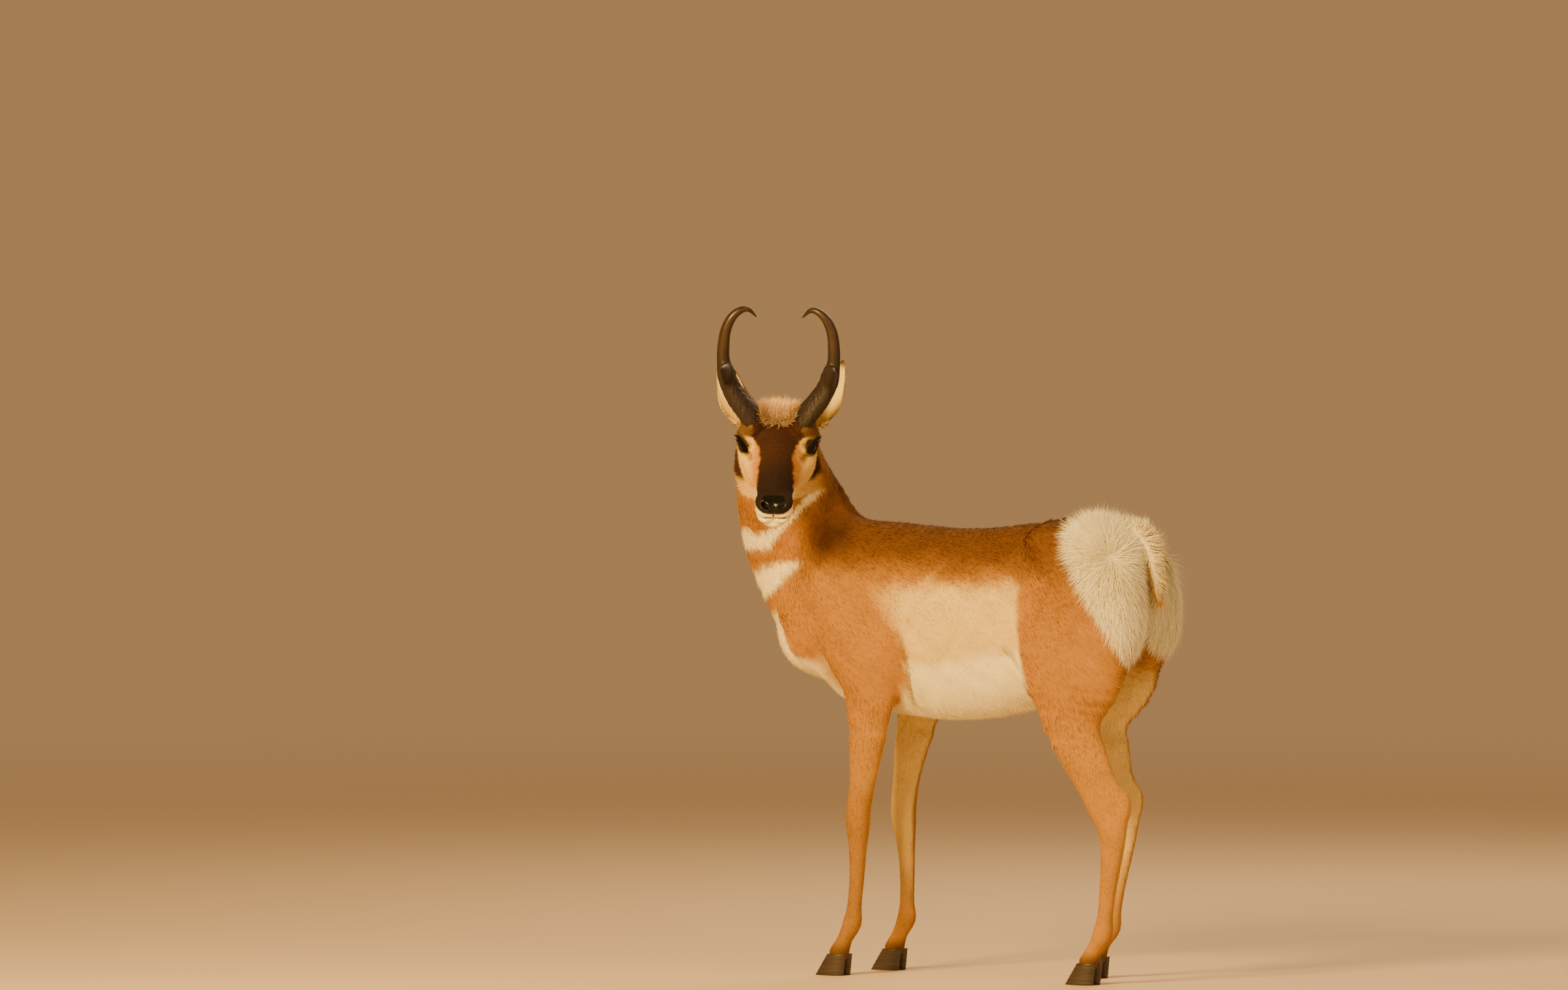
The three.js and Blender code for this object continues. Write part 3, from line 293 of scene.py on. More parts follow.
def catmull(rows, t):
    """Rows of a table read at 0 to 1 along it, on a smooth curve that meets each row."""
    rows = np.asarray(rows, float)
    last = len(rows) - 1
    place = np.clip(np.asarray(t, float) * last, 0, last - 1e-9)
    k = place.astype(int)
    f = (place - k)[..., None]
    ahead = np.vstack([2 * rows[0] - rows[1], rows, 2 * rows[-1] - rows[-2]])
    a, b, c, d = ahead[k], ahead[k + 1], ahead[k + 2], ahead[k + 3]
    return 0.5 * (2 * b + (c - a) * f + (2 * a - 5 * b + 4 * c - d) * f ** 2
                  + (3 * b - a - 3 * c + d) * f ** 3)


def smooth_min(a, b, blend):
    """The smaller of two fields, with a fillet where they meet."""
    near = np.maximum(blend - np.abs(a - b), 0) / blend
    return np.minimum(a, b) - near * near * blend / 4


def boxed(low, high, field):
    """A far-off estimate outside a box, and the field itself near it."""
    low, high = np.asarray(low, float), np.asarray(high, float)

    def value(p):
        gap = np.maximum(np.maximum(low - p, p - high), 0)
        away = np.sqrt((gap * gap).sum(1))
        close = away < FAR
        if close.any():
            away[close] = field(p[close])
        return away
    return value


def ellipsoid(centre, radii, turn=(0, 0, 0)):
    """The field of an ellipsoid turned about x, y and z in degrees."""
    a, b, c = (math.radians(v) for v in turn)
    spin = Matrix.Rotation(c, 3, "Z") @ Matrix.Rotation(b, 3, "Y") @ Matrix.Rotation(a, 3, "X")
    spin = np.array(spin)
    centre, radii = np.asarray(centre, float), np.asarray(radii, float)

    def field(p):
        q = (p - centre) @ spin
        ratio = np.sqrt(((q / radii) ** 2).sum(1))
        slope = np.sqrt(((q / radii ** 2) ** 2).sum(1)) + 1e-9
        return ratio * (ratio - 1) / slope
    return boxed(centre - radii.max(), centre + radii.max(), field)


def loft(stations, up_at, cap=1.0, steps=3):
    """A body along stations of x, y, z, half depth, half width and taper."""
    rows = np.array([tuple(s) + (0,) * (6 - len(s)) for s in stations], float)
    count = (len(rows) - 1) * steps
    ticks = catmull(rows, np.arange(count + 1) / count)
    segments = []
    for k in range(count):
        start, end = ticks[k], ticks[k + 1]
        along = end[:3] - start[:3]
        length = np.linalg.norm(along)
        along = along / length
        up = np.asarray(up_at((k + 0.5) / count), float)
        up = unit(up - along * up.dot(along))
        segments.append((start, end, along, length, up, np.cross(up, along)))
    reach = ticks[:, 3:5].max(1)[:, None]
    low, high = (ticks[:, :3] - reach).min(0), (ticks[:, :3] + reach).max(0)

    def field(p):
        best = np.full(len(p), np.inf)
        for start, end, along, length, up, side in segments:
            q = p - start[:3]
            run = q @ along
            t = np.clip(run / length, 0, 1)
            u, v = q @ up, q @ side
            past = run - t * length
            depth = start[3] + (end[3] - start[3]) * t
            taper = start[5] + (end[5] - start[5]) * t
            width = (start[4] + (end[4] - start[4]) * t) * (1 + taper * np.clip(u / depth, -1, 1))
            tip = np.minimum(depth, width) * cap
            ratio = np.sqrt((u / depth) ** 2 + (v / width) ** 2 + (past / tip) ** 2)
            slope = np.sqrt((u / depth ** 2) ** 2 + (v / width ** 2) ** 2 + (past / tip ** 2) ** 2)
            best = np.minimum(best, ratio * (ratio - 1) / (slope + 1e-9))
        return best
    return boxed(low, high, field)


def always(direction):
    return lambda t: direction


def crest_heading(t):
    return np.interp(t * (len(NECK) - 1), range(len(NECK)), [s[5] for s in NECK])


def crest_at(t):
    heading = math.radians(crest_heading(t))
    return (math.cos(heading), math.sin(heading), 0.35 * (1 - t))


def from_edges(row):
    """A station of a loft from its top and bottom."""
    x, top, bottom, width, taper = row
    return (x, 0, (top + bottom) / 2, (top - bottom) / 2, width, taper)


def blended(parts):
    """One field from pairs of a form and the width of its fillet."""
    def field(p):
        value = parts[0][0](p)
        for part, blend in parts[1:]:
            value = smooth_min(value, part(p), blend)
        return value
    return field


def leg_stations(kind, name):
    """The stations of one leg, set forward on the side where it stands so."""
    side = SIDES[name]
    base, steps = (FORE_LEG, (0, 0, 0)) if kind == "fore" else (HIND_LEG, HIND_SET[name])
    stations = []
    for x, y, z, *sizes in base:
        low = min(max((HOCK - z) / HOCK, 0), 1)
        high = min(max((HIP - z) / (HIP - HOCK), 0), 1)
        if z > HOCK:
            shift = steps[0] + (steps[1] - steps[0]) * high
        else:
            shift = steps[1] + (steps[2] - steps[1]) * low
        stations.append((x + shift, y * side, z, *sizes))
    return stations


def flipped(p, side):
    return (p[0], p[1] * side, *p[2:])


def trunk_forms(name):
    """Shoulder, breast, upper arm, haunch, stifle, buttock and hip bone of one side."""
    side, step = SIDES[name], HIND_SET[name][0]
    forms = [
        ((-232, 84, 735), (62, 38, 150), (0, -24, 0), 40),
        ((-322, 62, 660), (52, 48, 60), (0, 0, 0), 45),
        ((-165, 100, 628), (84, 36, 66), (0, 20, 0), 34),
        ((338 + step * 0.2, 84, 735), (98, 60, 140), (0, -8, 0), 46),
        ((262 + step * 0.6, 104, 628), (64, 42, 90), (0, -24, 0), 40),
        ((392, 62, 700), (46, 52, 96), (0, 0, 0), 30),
        ((246, 82, 858), (38, 34, 30), (0, 0, 0), 46),
    ]
    return [(ellipsoid(flipped(at, side), radii, turn), blend) for at, radii, turn, blend in forms]


def leg_field(kind, name):
    """One leg to the top of its hoof, with the point of the hock on a hind leg."""
    parts = [(loft(leg_stations(kind, name), always((1, 0, 0))), 0)]
    if kind == "hind":
        x, y, z = HOCK_POINT[0]
        at = (x + HIND_SET[name][1], y * SIDES[name], z)
        parts.append((ellipsoid(at, HOCK_POINT[1], (0, 10, 0)), 12))
    return blended(parts)


def head_forms():
    """The skull with brows, cheeks, jaws, lips and nose."""
    def both(p, radii, blend, turn=(0, 0, 0)):
        return [(ellipsoid(flipped(p, s), radii, (turn[0] * s, turn[1], turn[2] * s)), blend)
                for s in SIDES.values()]

    parts = [(loft([from_edges(r) for r in SKULL], always((0, 0, 1)), MUZZLE_CAP), 0)]
    parts += both((-6, 56, 4), (32, 24, 27), 12, (0, 8, -20))
    parts += both((-2, 44, -46), (48, 26, 38), 26, (0, 10, -10))
    parts += both((-17, 47, 40), (36, 24, 22), 18)
    parts += both((-60, 54, 8), (22, 20, 24), 14)
    parts += both((160, 18, -33), (24, 18, 18), 12)
    parts += both((148, 17, -62), (36, 18, 15), 14)
    parts.append((ellipsoid((146, 0, -76), (32, 24, 14)), 12))
    parts.append((ellipsoid((166, 0, -34), (24, 24, 17)), 12))
    return blended(parts)


def body_field():
    """Trunk, neck and legs in one."""
    parts = [(loft([from_edges(r) for r in TRUNK], always((0, 0, 1)), TRUNK_CAP), 0),
             (loft([s[:5] for s in NECK], crest_at), 46)]
    for name in SIDES:
        parts += trunk_forms(name)
    for kind in ("fore", "hind"):
        parts += [(leg_field(kind, name), 26) for name in SIDES]
    return blended(parts)


BODY = body_field()
LEGS = {(kind, name): leg_field(kind, name) for kind in ("fore", "hind") for name in SIDES}
HEAD = head_forms()
TAIL_FORM = loft(TAIL, always((1, 0, 0)))


def face_details(q, value):
    """Sockets, nostrils, mouth and the folds round them, on points in the head's frame."""
    y = np.abs(q[:, 1])
    m = np.column_stack([q[:, 0], y, q[:, 2]])
    value = np.maximum(value, (EYE_RADIUS - 2.2) - eye_gap(q))
    # A tear line runs from the front corner of the eye, and the cheek bone stands out under it.
    d = np.hypot(m[:, 0] - 34, (m[:, 2] + 13) * 1.6)
    value = value + 2.5 * np.exp(-(d / 13) ** 2)
    value = value - 2.2 * np.exp(-((m[:, 0] - 25) / 34) ** 2 - ((m[:, 2] + 30) / 9) ** 2)
    # The nostril is a comma that opens forwards and to the side.
    offset = m - NOSTRIL["at"]
    axis = unit(NOSTRIL["along"])
    along = offset @ axis
    rest = np.linalg.norm(offset - along[:, None] * axis, axis=1)
    slot = np.hypot(np.maximum(np.abs(along) - NOSTRIL["half"], 0), rest) - NOSTRIL["radius"]
    value = -smooth_min(-value, slot, 4)
    value = value - 1.6 * np.exp(-((np.hypot(along * 0.7, rest) - 9.5) / 3.2) ** 2)
    # The mouth runs back and up from the lip, and a groove parts the upper lip.
    line = mouth_line(m[:, 0])
    reach = smooth(96, 112, m[:, 0])
    value = value + 5.5 * reach * np.exp(-((m[:, 2] - line) / 2.4) ** 2)
    value = value - 1.6 * reach * np.exp(-((m[:, 2] - line - 7) / 5) ** 2)
    cleft = np.exp(-(y / 1.6) ** 2) * smooth(164, 176, m[:, 0]) * smooth(-66, -58, m[:, 2])
    return value + 3.0 * cleft * smooth(-20, -30, m[:, 2])


def coat_depth(p, q):
    """How far the skin lies inside the solids."""
    low = p[:, 2] < 470
    depth = np.where(low, LEG_DEPTH, SKIN_DEPTH)
    depth = depth + (SKIN_DEPTH - LEG_DEPTH) * smooth(440, 560, p[:, 2]) * low
    behind = (p - PATCH[0]) @ np.array(PATCH[1])
    depth = depth - 2 * smooth(-15, 25, behind) * smooth(560, 640, p[:, 2])
    face = smooth(-90, -40, q[:, 0]) * smooth(130, 100, np.abs(q[:, 2])) * smooth(150, 100, np.abs(q[:, 1]))
    return depth * (1 - face) + FACE_DEPTH * face


def skin_field(p):
    """The whole skin: all flesh in one field, let in by the coat's depth."""
    q = to_head(p)
    close = within(q, HEAD_MIDDLE, (210, 120, 130))
    head = np.full(len(p), 200.0)
    if close.any():
        head[close] = HEAD(q[close])
    value = smooth_min(BODY(p), head, 30)
    value = smooth_min(value, TAIL_FORM(p), 10)
    value = value + coat_depth(p, q)
    sides = (p[:, 2] > 480) & (p[:, 2] < 690) & (np.abs(p[:, 0] - 90) < 190)
    if sides.any():
        gap = crease_gap(p[sides])
        value[sides] += 4.5 * np.exp(-(gap / 4.5) ** 2) - 2.5 * np.exp(-((gap - 14) / 9) ** 2)
    if close.any():
        value[close] = face_details(q[close], value[close])
    return value


def slope(field, p, h=0.8):
    """The field's slope by central differences."""
    out = np.empty_like(p)
    for axis in range(3):
        step = np.zeros(3)
        step[axis] = h
        out[:, axis] = (field(p + step) - field(p - step)) / (2 * h)
    return out


def settle(field, p, rounds=2, limit=3.0):
    """Moves points onto the surface, by a few mm at most in each round."""
    for _ in range(rounds):
        g = slope(field, p)
        steep = np.maximum((g * g).sum(1), 0.2)[:, None]
        move = field(p)[:, None] * g / steep
        size = np.linalg.norm(move, axis=1, keepdims=True)
        p = p - move * np.minimum(1, limit / np.maximum(size, 1e-9))
    return p


def fill_field(low, high, cell, field):
    """The field on a grid, worked out exactly only near the surface."""
    counts = [int(math.ceil((b - a) / cell)) + 1 for a, b in zip(low, high)]
    coarse = 4
    axes = [low[k] + cell * coarse * np.arange(counts[k] // coarse + 2) for k in range(3)]
    grid = np.stack(np.meshgrid(*axes, indexing="ij"), -1).reshape(-1, 3)
    rough = field(grid).reshape([len(a) for a in axes])
    whole = rough.repeat(coarse, 0).repeat(coarse, 1).repeat(coarse, 2)
    near = np.abs(rough) < cell * coarse * 1.9
    todo = near.repeat(coarse, 0).repeat(coarse, 1).repeat(coarse, 2)
    place = np.argwhere(todo)
    whole[todo] = field(place * cell + np.array(low))
    return whole.astype(np.float32)


def grid_quads(field, low, high, cell):
    """The surface of a field in a box as quads."""
    values = fill_field(low, high, cell, field)
    grid = vdb.FloatGrid(float(FAR))
    grid.copyFromArray(values)
    points, quads = grid.convertToQuads(isovalue=0.0)
    return points.astype(float) * cell + np.array(low), quads


def new_mesh(name, points, faces):
    mesh = bpy.data.meshes.new(name)
    mesh.from_pydata(points.tolist() if hasattr(points, "tolist") else points, [],
                     faces.tolist() if hasattr(faces, "tolist") else faces)
    mesh.update()
    return mesh


def outward(points, faces):
    """Turns a closed shape's faces to point out."""
    p = np.asarray(points)
    volume = 0.0
    for face in faces:
        a = p[face[0]]
        for k in range(1, len(face) - 1):
            volume += np.dot(a, np.cross(p[face[k]], p[face[k + 1]]))
    return [tuple(reversed(f)) for f in faces] if volume < 0 else list(faces)


def joined(parts):
    """The points and faces of several pieces as one list of each."""
    faces, start = [], 0
    for points, own in parts:
        faces += [tuple(i + start for i in face) for face in own]
        start += len(points)
    return np.vstack([points for points, _ in parts]), faces


def weld(mesh, distance=1e-6):
    """Makes one of the points that fall together."""
    work = bmesh.new()
    work.from_mesh(mesh)
    bmesh.ops.remove_doubles(work, verts=work.verts, dist=distance)
    work.to_mesh(mesh)
    work.free()


def join_rings(rings):
    """Closes a stack of like rings with a fan at each end."""
    rings = np.asarray(rings)
    levels, sides = rings.shape[:2]
    points = np.vstack([rings.reshape(-1, 3), rings[0].mean(0), rings[-1].mean(0)])
    faces = []
    for r in range(levels - 1):
        for k in range(sides):
            a, b = r * sides + k, r * sides + (k + 1) % sides
            faces.append((a, b, b + sides, a + sides))
    last = (levels - 1) * sides
    for k in range(sides):
        faces.append(((k + 1) % sides, k, levels * sides))
        faces.append((last + k, last + (k + 1) % sides, levels * sides + 1))
    return points, outward(points, faces)


def new_object(name, mesh, material=None, shade=True):
    obj = bpy.data.objects.new(name, mesh)
    bpy.context.scene.collection.objects.link(obj)
    if material:
        mesh.materials.append(material)
    mesh.polygons.foreach_set("use_smooth", np.full(len(mesh.polygons), shade))
    return obj


def coordinates(mesh):
    flat = np.empty(len(mesh.vertices) * 3, np.float32)
    mesh.vertices.foreach_get("co", flat)
    return flat.reshape(-1, 3).astype(float)


def paint(mesh, colours, hairy=1.0):
    """Colour in each point, with how hairy it is as the fourth number."""
    layer = mesh.color_attributes.new("Coat", "FLOAT_COLOR", "POINT")
    hairy = np.broadcast_to(hairy, len(colours))
    layer.data.foreach_set("color", np.column_stack([colours, hairy]).ravel())


def finish_piece(obj, slot, *nodes):
    """Puts a piece on the body in place of the nodes it stands for; its slot is not used."""
    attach(obj, ROOT)
    if nodes:
        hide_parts(*nodes)


# Markings, worked out from where a point lies on the animal.

def blotch(p, size, seed=0):
    """Soft noise from a few crossed waves."""
    rng = np.random.default_rng(seed)
    total = np.zeros(len(p))
    for k in range(7):
        wave = unit(rng.normal(size=3)) / (size * rng.uniform(0.6, 1.6))
        total += np.sin(p @ wave * 6.283 + rng.uniform(0, 6.283) + 1.7 * np.sin(p @ wave[::-1] * 4))
    return total / 3.5


def blend_to(colour, target, mask):
    """Colours turned towards another as far as the mask says."""
    return colour + (np.asarray(target) - colour) * mask[:, None]


def neck_place(p):
    """Height in the neck from 0 to 1, and the bearing round it from the throat in degrees."""
    ts = np.linspace(0, 1, 60)
    axis = catmull([s[:3] for s in NECK], ts)
    t = np.empty(len(p))
    for k in range(0, len(p), 8000):
        gap = ((p[k:k + 8000, None] - axis) ** 2).sum(2)
        t[k:k + 8000] = ts[gap.argmin(1)]
    centre = catmull([s[:3] for s in NECK], t)
    bearing = np.degrees(np.arctan2(p[:, 1] - centre[:, 1], p[:, 0] - centre[:, 0]))
    throat = crest_heading(t) + 180
    return t, (bearing - throat + 180) % 360 - 180


def body_colours(p, n, coat):
    """Tan sides, dark back with painted shade on its top, cream flank, white belly and chest, the legs, and
    painted shade in the folds of the skin.
    """
    x, y, z = p.T
    ay = np.abs(y)
    jitter = blotch(p, 34, 1) * 5 + blotch(p, 11, 2) * 2
    wander = blotch(p, 90, 6) * 12
    tan, saddle_and_shade, white, cream = (np.array(c) for c in (coat.tan, coat.saddle_and_shade, coat.white, coat.cream))
    colour = np.tile(tan, (len(p), 1))
    # The legs are paler than the body, and the back and haunch are browner: partly their own darker coat,
    # partly painted shade on the top of the body.
    colour = blend_to(colour, tan * (1.12, 1.25, 1.4), smooth(640, 380, z) * 0.6)
    back = smooth(752, 838, z + jitter + wander) * smooth(-345, -250, x)
    colour = blend_to(colour, saddle_and_shade, back * 0.95)
    haunch = smooth(235, 285, x - 0.25 * (z - 800) + jitter) * smooth(640, 830, z)
    colour = blend_to(colour, saddle_and_shade * 1.5, haunch * 0.55)
    # The cream flank lies between shoulder and thigh, and joins the white belly.
    elbow = leg_near(p, "fore")
    rear = np.interp(z, [470, 530, 600, 660, 720, 775], [262, 246, 224, 209, 199, 200])
    thigh = np.maximum(smooth(4, -6, rear - as_left(p) + jitter * 0.5), smooth(500, 475, z))
    thigh = np.maximum(thigh, leg_near(p, "hind") * smooth(600, 560, z))
    front = np.interp(z, [500, 560, 640, 700, 768], [-60, -56, -50, -78, -120])
    soft = np.interp(z, [560, 640, 760], [7, 12, 42])
    flank = np.clip((x - front + jitter + wander * 0.5) / soft * 0.5 + 0.5, 0, 1) * (1 - thigh)
    flank = flank * smooth(26, -20, z - 758 - 0.05 * x + jitter * 1.2 + wander * 0.6)
    colour = blend_to(colour, cream, flank * 0.9)
    belly = smooth(14, -16, z - 612 - 0.16 * np.maximum(x, 0) + jitter * 0.6 + wander * 0.5)
    colour = blend_to(colour, white, belly * smooth(-4, 6, x - front) * (1 - thigh) * (1 - elbow))
    keel = smooth(-0.45, -0.8, n[:, 2]) * smooth(-380, -340, x) * smooth(300, 240, x) * (z > 470)
    colour = blend_to(colour, white, keel * (1 - elbow))
    # The white of the chest ends at the shoulder.
    edge = np.interp(z, [520, 545, 603, 640, 678, 715], [-245, -268, -319, -338, -356, -392])
    chest = smooth(5, -5, x - edge + jitter * 0.7) * smooth(712, 690, z + jitter) * (z > 480)
    colour = blend_to(colour, white, chest)
    # The legs are cream on the inside, darker down the front and darkest at the hooves.
    inner = smooth(0.0, 0.45, -np.sign(y) * n[:, 1]) * smooth(640, 560, z) * smooth(90, 330, z)
    colour = blend_to(colour, cream * 1.05, inner * smooth(30, 50, ay) * 0.85)
    # Painted shade: the colour is darkened along the folds of skin behind the elbow and in front of the
    # thigh.
    colour = colour * (1 - 0.5 * np.exp(-(crease_gap(p) / 3.5) ** 2))[:, None]
    shin = smooth(420, 300, z) * smooth(0, -60, x)
    colour = blend_to(colour, tan * 0.6, shin * smooth(0.5, -0.3, -np.sign(y) * n[:, 1]) * 0.6)
    return blend_to(colour, tan * 0.35, smooth(70, 45, z))


def as_left(p):
    """How far back each point would lie on the left side, where the hind leg is further back."""
    ahead = smooth(80, 180, p[:, 0]) * (p[:, 1] > 0) * smooth(760, 640, p[:, 2])
    return p[:, 0] + 42 * ahead


def crease_gap(p):
    """How far each point lies from the folds of skin behind the elbow and before the thigh."""
    gap = np.full(len(p), 99.0)
    at = np.column_stack([as_left(p), p[:, 2]])
    for line in CREASES:
        for start, end in zip(line, line[1:]):
            start, end = np.array(start, float), np.array(end, float)
            t = np.clip(((at - start) @ (end - start)) / ((end - start) ** 2).sum(), 0, 1)
            gap = np.minimum(gap, np.linalg.norm(at - start - t[:, None] * (end - start), axis=1))
    return np.where(np.abs(p[:, 1]) > 66, gap, 99.0)


def leg_near(p, kind):
    """One on a leg and up to the elbow, and nothing a finger's breadth away from it."""
    near = np.zeros(len(p))
    low = p[:, 2] < 660
    for name in SIDES:
        here = low & (p[:, 1] * SIDES[name] > 0)
        near[here] = smooth(14, 4, LEGS[kind, name](p[here]))
    return near


def rump_mask(p, jitter):
    """One on the white patches behind the plane of the rump."""
    behind = (p - PATCH[0]) @ np.array(PATCH[1])
    return smooth(-4, 6, behind + jitter * 0.6) * smooth(575, 600, p[:, 2])


def neck_colours(p, colour, coat):
    """The neck's bands and nape over the body's colour."""
    t, bearing = neck_place(p)
    turn = np.abs(bearing)
    z = p[:, 2] + blotch(p, 30, 4) * 5
    rise = np.clip(turn, 0, 150)
    # Two pale bands cross the throat, and rise and narrow towards the nape.
    band = np.interp(rise, [0, 30, 55, 80, 110, 134], [848, 842, 850, 882, 926, 946])
    half = np.interp(rise, [0, 30, 60, 110, 132], [22, 17, 14, 11, 0])
    upper = smooth(5, -5, np.abs(z - band) - half) * (turn < 134)
    wedge = 756 + 0.62 * np.maximum(rise - 25, 0)
    half = np.interp(rise, [0, 40, 80, 104], [26, 25, 13, 0])
    lower = smooth(5, -5, np.abs(z - wedge) - half) * (turn < 106)
    here = smooth(-235, -275, p[:, 0]) * smooth(700, 715, p[:, 2])
    # The neck is browner than the body, and darkest along the nape.
    tan = np.array(coat.tan)
    colour = blend_to(colour, tan * (0.82, 0.78, 0.75), here * smooth(0.2, 0.4, t) * 0.9)
    crest = smooth(118, 160, turn) * here
    colour = blend_to(colour, np.array(coat.saddle_and_shade) * 1.3, crest * 0.7)
    return blend_to(colour, coat.white, np.maximum(upper, lower) * here)


def head_colours(q, colour, coat):
    """The face over the neck's colour, at points of the head's frame."""
    x, y, z = q.T
    ay = np.abs(y)
    jitter = blotch(q, 16, 5) * 1.8
    tan, white, cream, dark = (np.array(c) for c in (coat.tan, coat.white, coat.cream, coat.dark))
    here = smooth(-112, -84, x + 0.45 * z)
    # Cream cheeks turn tan beside the mask and behind the eyes, and white under the jaw.
    face = np.tile(cream * (1.0, 0.9, 0.8), (len(q), 1))
    beside = smooth(60, 30, ay + 0.35 * np.abs(z + 18) + jitter * 2)
    face = blend_to(face, tan * (1.1, 1.05, 0.8), beside * 0.9)
    face = blend_to(face, tan * (1.0, 0.95, 0.9), smooth(10, -60, x + jitter) * 0.8)
    face = blend_to(face, white, smooth(-52, -66, z + jitter * 0.6) * smooth(40, 70, x))
    # The dark mask runs from the horns to the nose, with brown brows and a tan fringe above it.
    half = np.interp(x, [-40, -10, 10, 26, 42, 62, 90, 125, 190], [66, 64, 54, 40, 33, 32, 34, 36, 38])
    top = np.interp(x, [-40, 0, 40, 80, 120, 150, 190], [8, 6, -14, -26, -36, -44, -46])
    mask = smooth(3, -3, ay - half + jitter) * smooth(-5, 5, z - top + jitter)
    brow = smooth(-4, 4, z - 14 - 0.6 * x + jitter) * smooth(54, 40, x) * smooth(-46, -30, x)
    level = 0.857 * z - 0.515 * x
    fringe = smooth(27, 4, ay - 28 + jitter * 1.5) * smooth(-92, -60, level) * smooth(-20, 0, x)
    face = blend_to(face, tan * (1.15, 1.0, 1.0), fringe * 0.9)
    face = blend_to(face, dark * (3.2, 3.0, 2.6), brow * 0.9)
    face = blend_to(face, dark * (1.5, 1.3, 1.1), mask * smooth(-46, -28, x))
    face = blend_to(face, dark * 0.6, mask * smooth(50, 120, x))
    # Dark round the eyes, down the tear line and in the patch behind the jaw.
    face = blend_to(face, dark * 0.5, smooth(28, 22, eye_gap(q) + jitter))
    rim = np.hypot(x - 34, (z + 10) * 1.5)
    face = blend_to(face, dark * 2.2, smooth(16, 6, rim) * 0.55)
    jaw = smooth(6, -6, np.hypot((x + 34) * 0.8, z + 70) - 30 + jitter) * smooth(34, 46, ay)
    face = blend_to(face, dark * 2.0, jaw)
    crown = smooth(-14, -26, x + jitter) * smooth(20, 34, z) * smooth(58, 46, ay)
    face = blend_to(face, cream * (1.05, 0.8, 0.9), crown)
    # White lips, and black on the nose, along the mouth and in the cleft of the upper lip.
    lips = smooth(-40, -46, z - 0.5 * np.maximum(ay - 20, 0) + jitter * 0.5) * smooth(96, 122, x)
    face = blend_to(face, white * 1.02, lips)
    face = blend_to(face, dark * 0.15, nose_pad(q))
    mouth = smooth(2.6, 1.2, np.abs(z - mouth_line(x))) * smooth(104, 118, x)
    face = blend_to(face, dark * 0.5, mouth * 0.9)
    cleft = smooth(1.8, 0.8, ay) * smooth(-58, -54, z) * smooth(-36, -40, z) * smooth(160, 170, x)
    face = blend_to(face, dark * 0.6, cleft)
    return colour * (1 - here[:, None]) + face * here[:, None]


def nose_pad(q):
    """One on the bare wet skin round the nostrils."""
    wide = np.hypot(np.maximum(np.abs(q[:, 1]) - 6, 0) * 0.85, q[:, 2] + 26) - 16.5
    return smooth(1.5, -1.5, wide) * smooth(160, 168, q[:, 0])


def mouth_line(x):
    """Height of the mouth's line along the muzzle, with a small rise at the front."""
    return -61 + 0.10 * (178 - x) + 5 * np.exp(-((x - 180) / 12) ** 2)


def markings(p, n):
    """The coat's colour at points of the animal's frame, for the skin and the tufts alike."""
    coat = bpy.context.scene.pronghorn_coat
    colour = body_colours(p, n, coat)
    near = (p[:, 0] < -220) & (p[:, 2] > 690)
    if near.any():
        colour[near] = neck_colours(p[near], colour[near], coat)
    jitter = blotch(p, 20, 3) * 4
    rump = rump_mask(p, jitter)
    colour = blend_to(colour, np.array(coat.white) * (1.03, 1.1, 1.3), rump)
    groove = smooth(15, 7, np.abs(p[:, 1])) * smooth(640, 690, p[:, 2]) * smooth(400, 425, p[:, 0])
    colour = blend_to(colour, np.array(coat.cream) * (0.85, 0.7, 0.6), groove * 0.9)
    q = to_head(p)
    close = within(q, HEAD_MIDDLE, HEAD_REACH)
    if close.any():
        colour[close] = head_colours(q[close], colour[close], coat)
    return np.clip(colour * (1 + 0.07 * blotch(p, 60, 9))[:, None], 0.004, 0.95)


# The lie of the coat.

def hair_lie(p, n):
    """The way that the hair points at each place, before it is laid against the skin."""
    x, y, z = p.T
    lie = np.tile((0.85, 0.0, -0.5), (len(p), 1))
    leg = smooth(600, 500, z)[:, None]
    lie = lie * (1 - leg) + np.array((0.15, 0, -1.0)) * leg
    neck = (smooth(-230, -300, x) * smooth(700, 740, z))[:, None]
    lie = lie * (1 - neck) + np.array((0.25, 0.12, -1.0)) * neck
    rump = rump_mask(p, 0)[:, None]
    away = unit(p - np.column_stack([np.full(len(p), ROSETTE[0]), np.sign(y) * ROSETTE[1],
                                     np.full(len(p), ROSETTE[2])]))
    lie = lie * (1 - rump) + (away + (0.05, 0, -0.45)) * rump
    q = to_head(p)
    back = np.tile((-1.0, 0.0, -0.12), (len(p), 1))
    back[:, 1] = np.sign(q[:, 1]) * 0.25
    head = (smooth(-115, -80, q[:, 0] + 0.45 * q[:, 2]) * smooth(130, 110, np.abs(q[:, 1])))[:, None]
    head = head * within(q, HEAD_MIDDLE, HEAD_REACH)[:, None]
    lie = lie * (1 - head) + (back @ HEAD_R.T) * head
    return unit(laid_flat(lie, n))


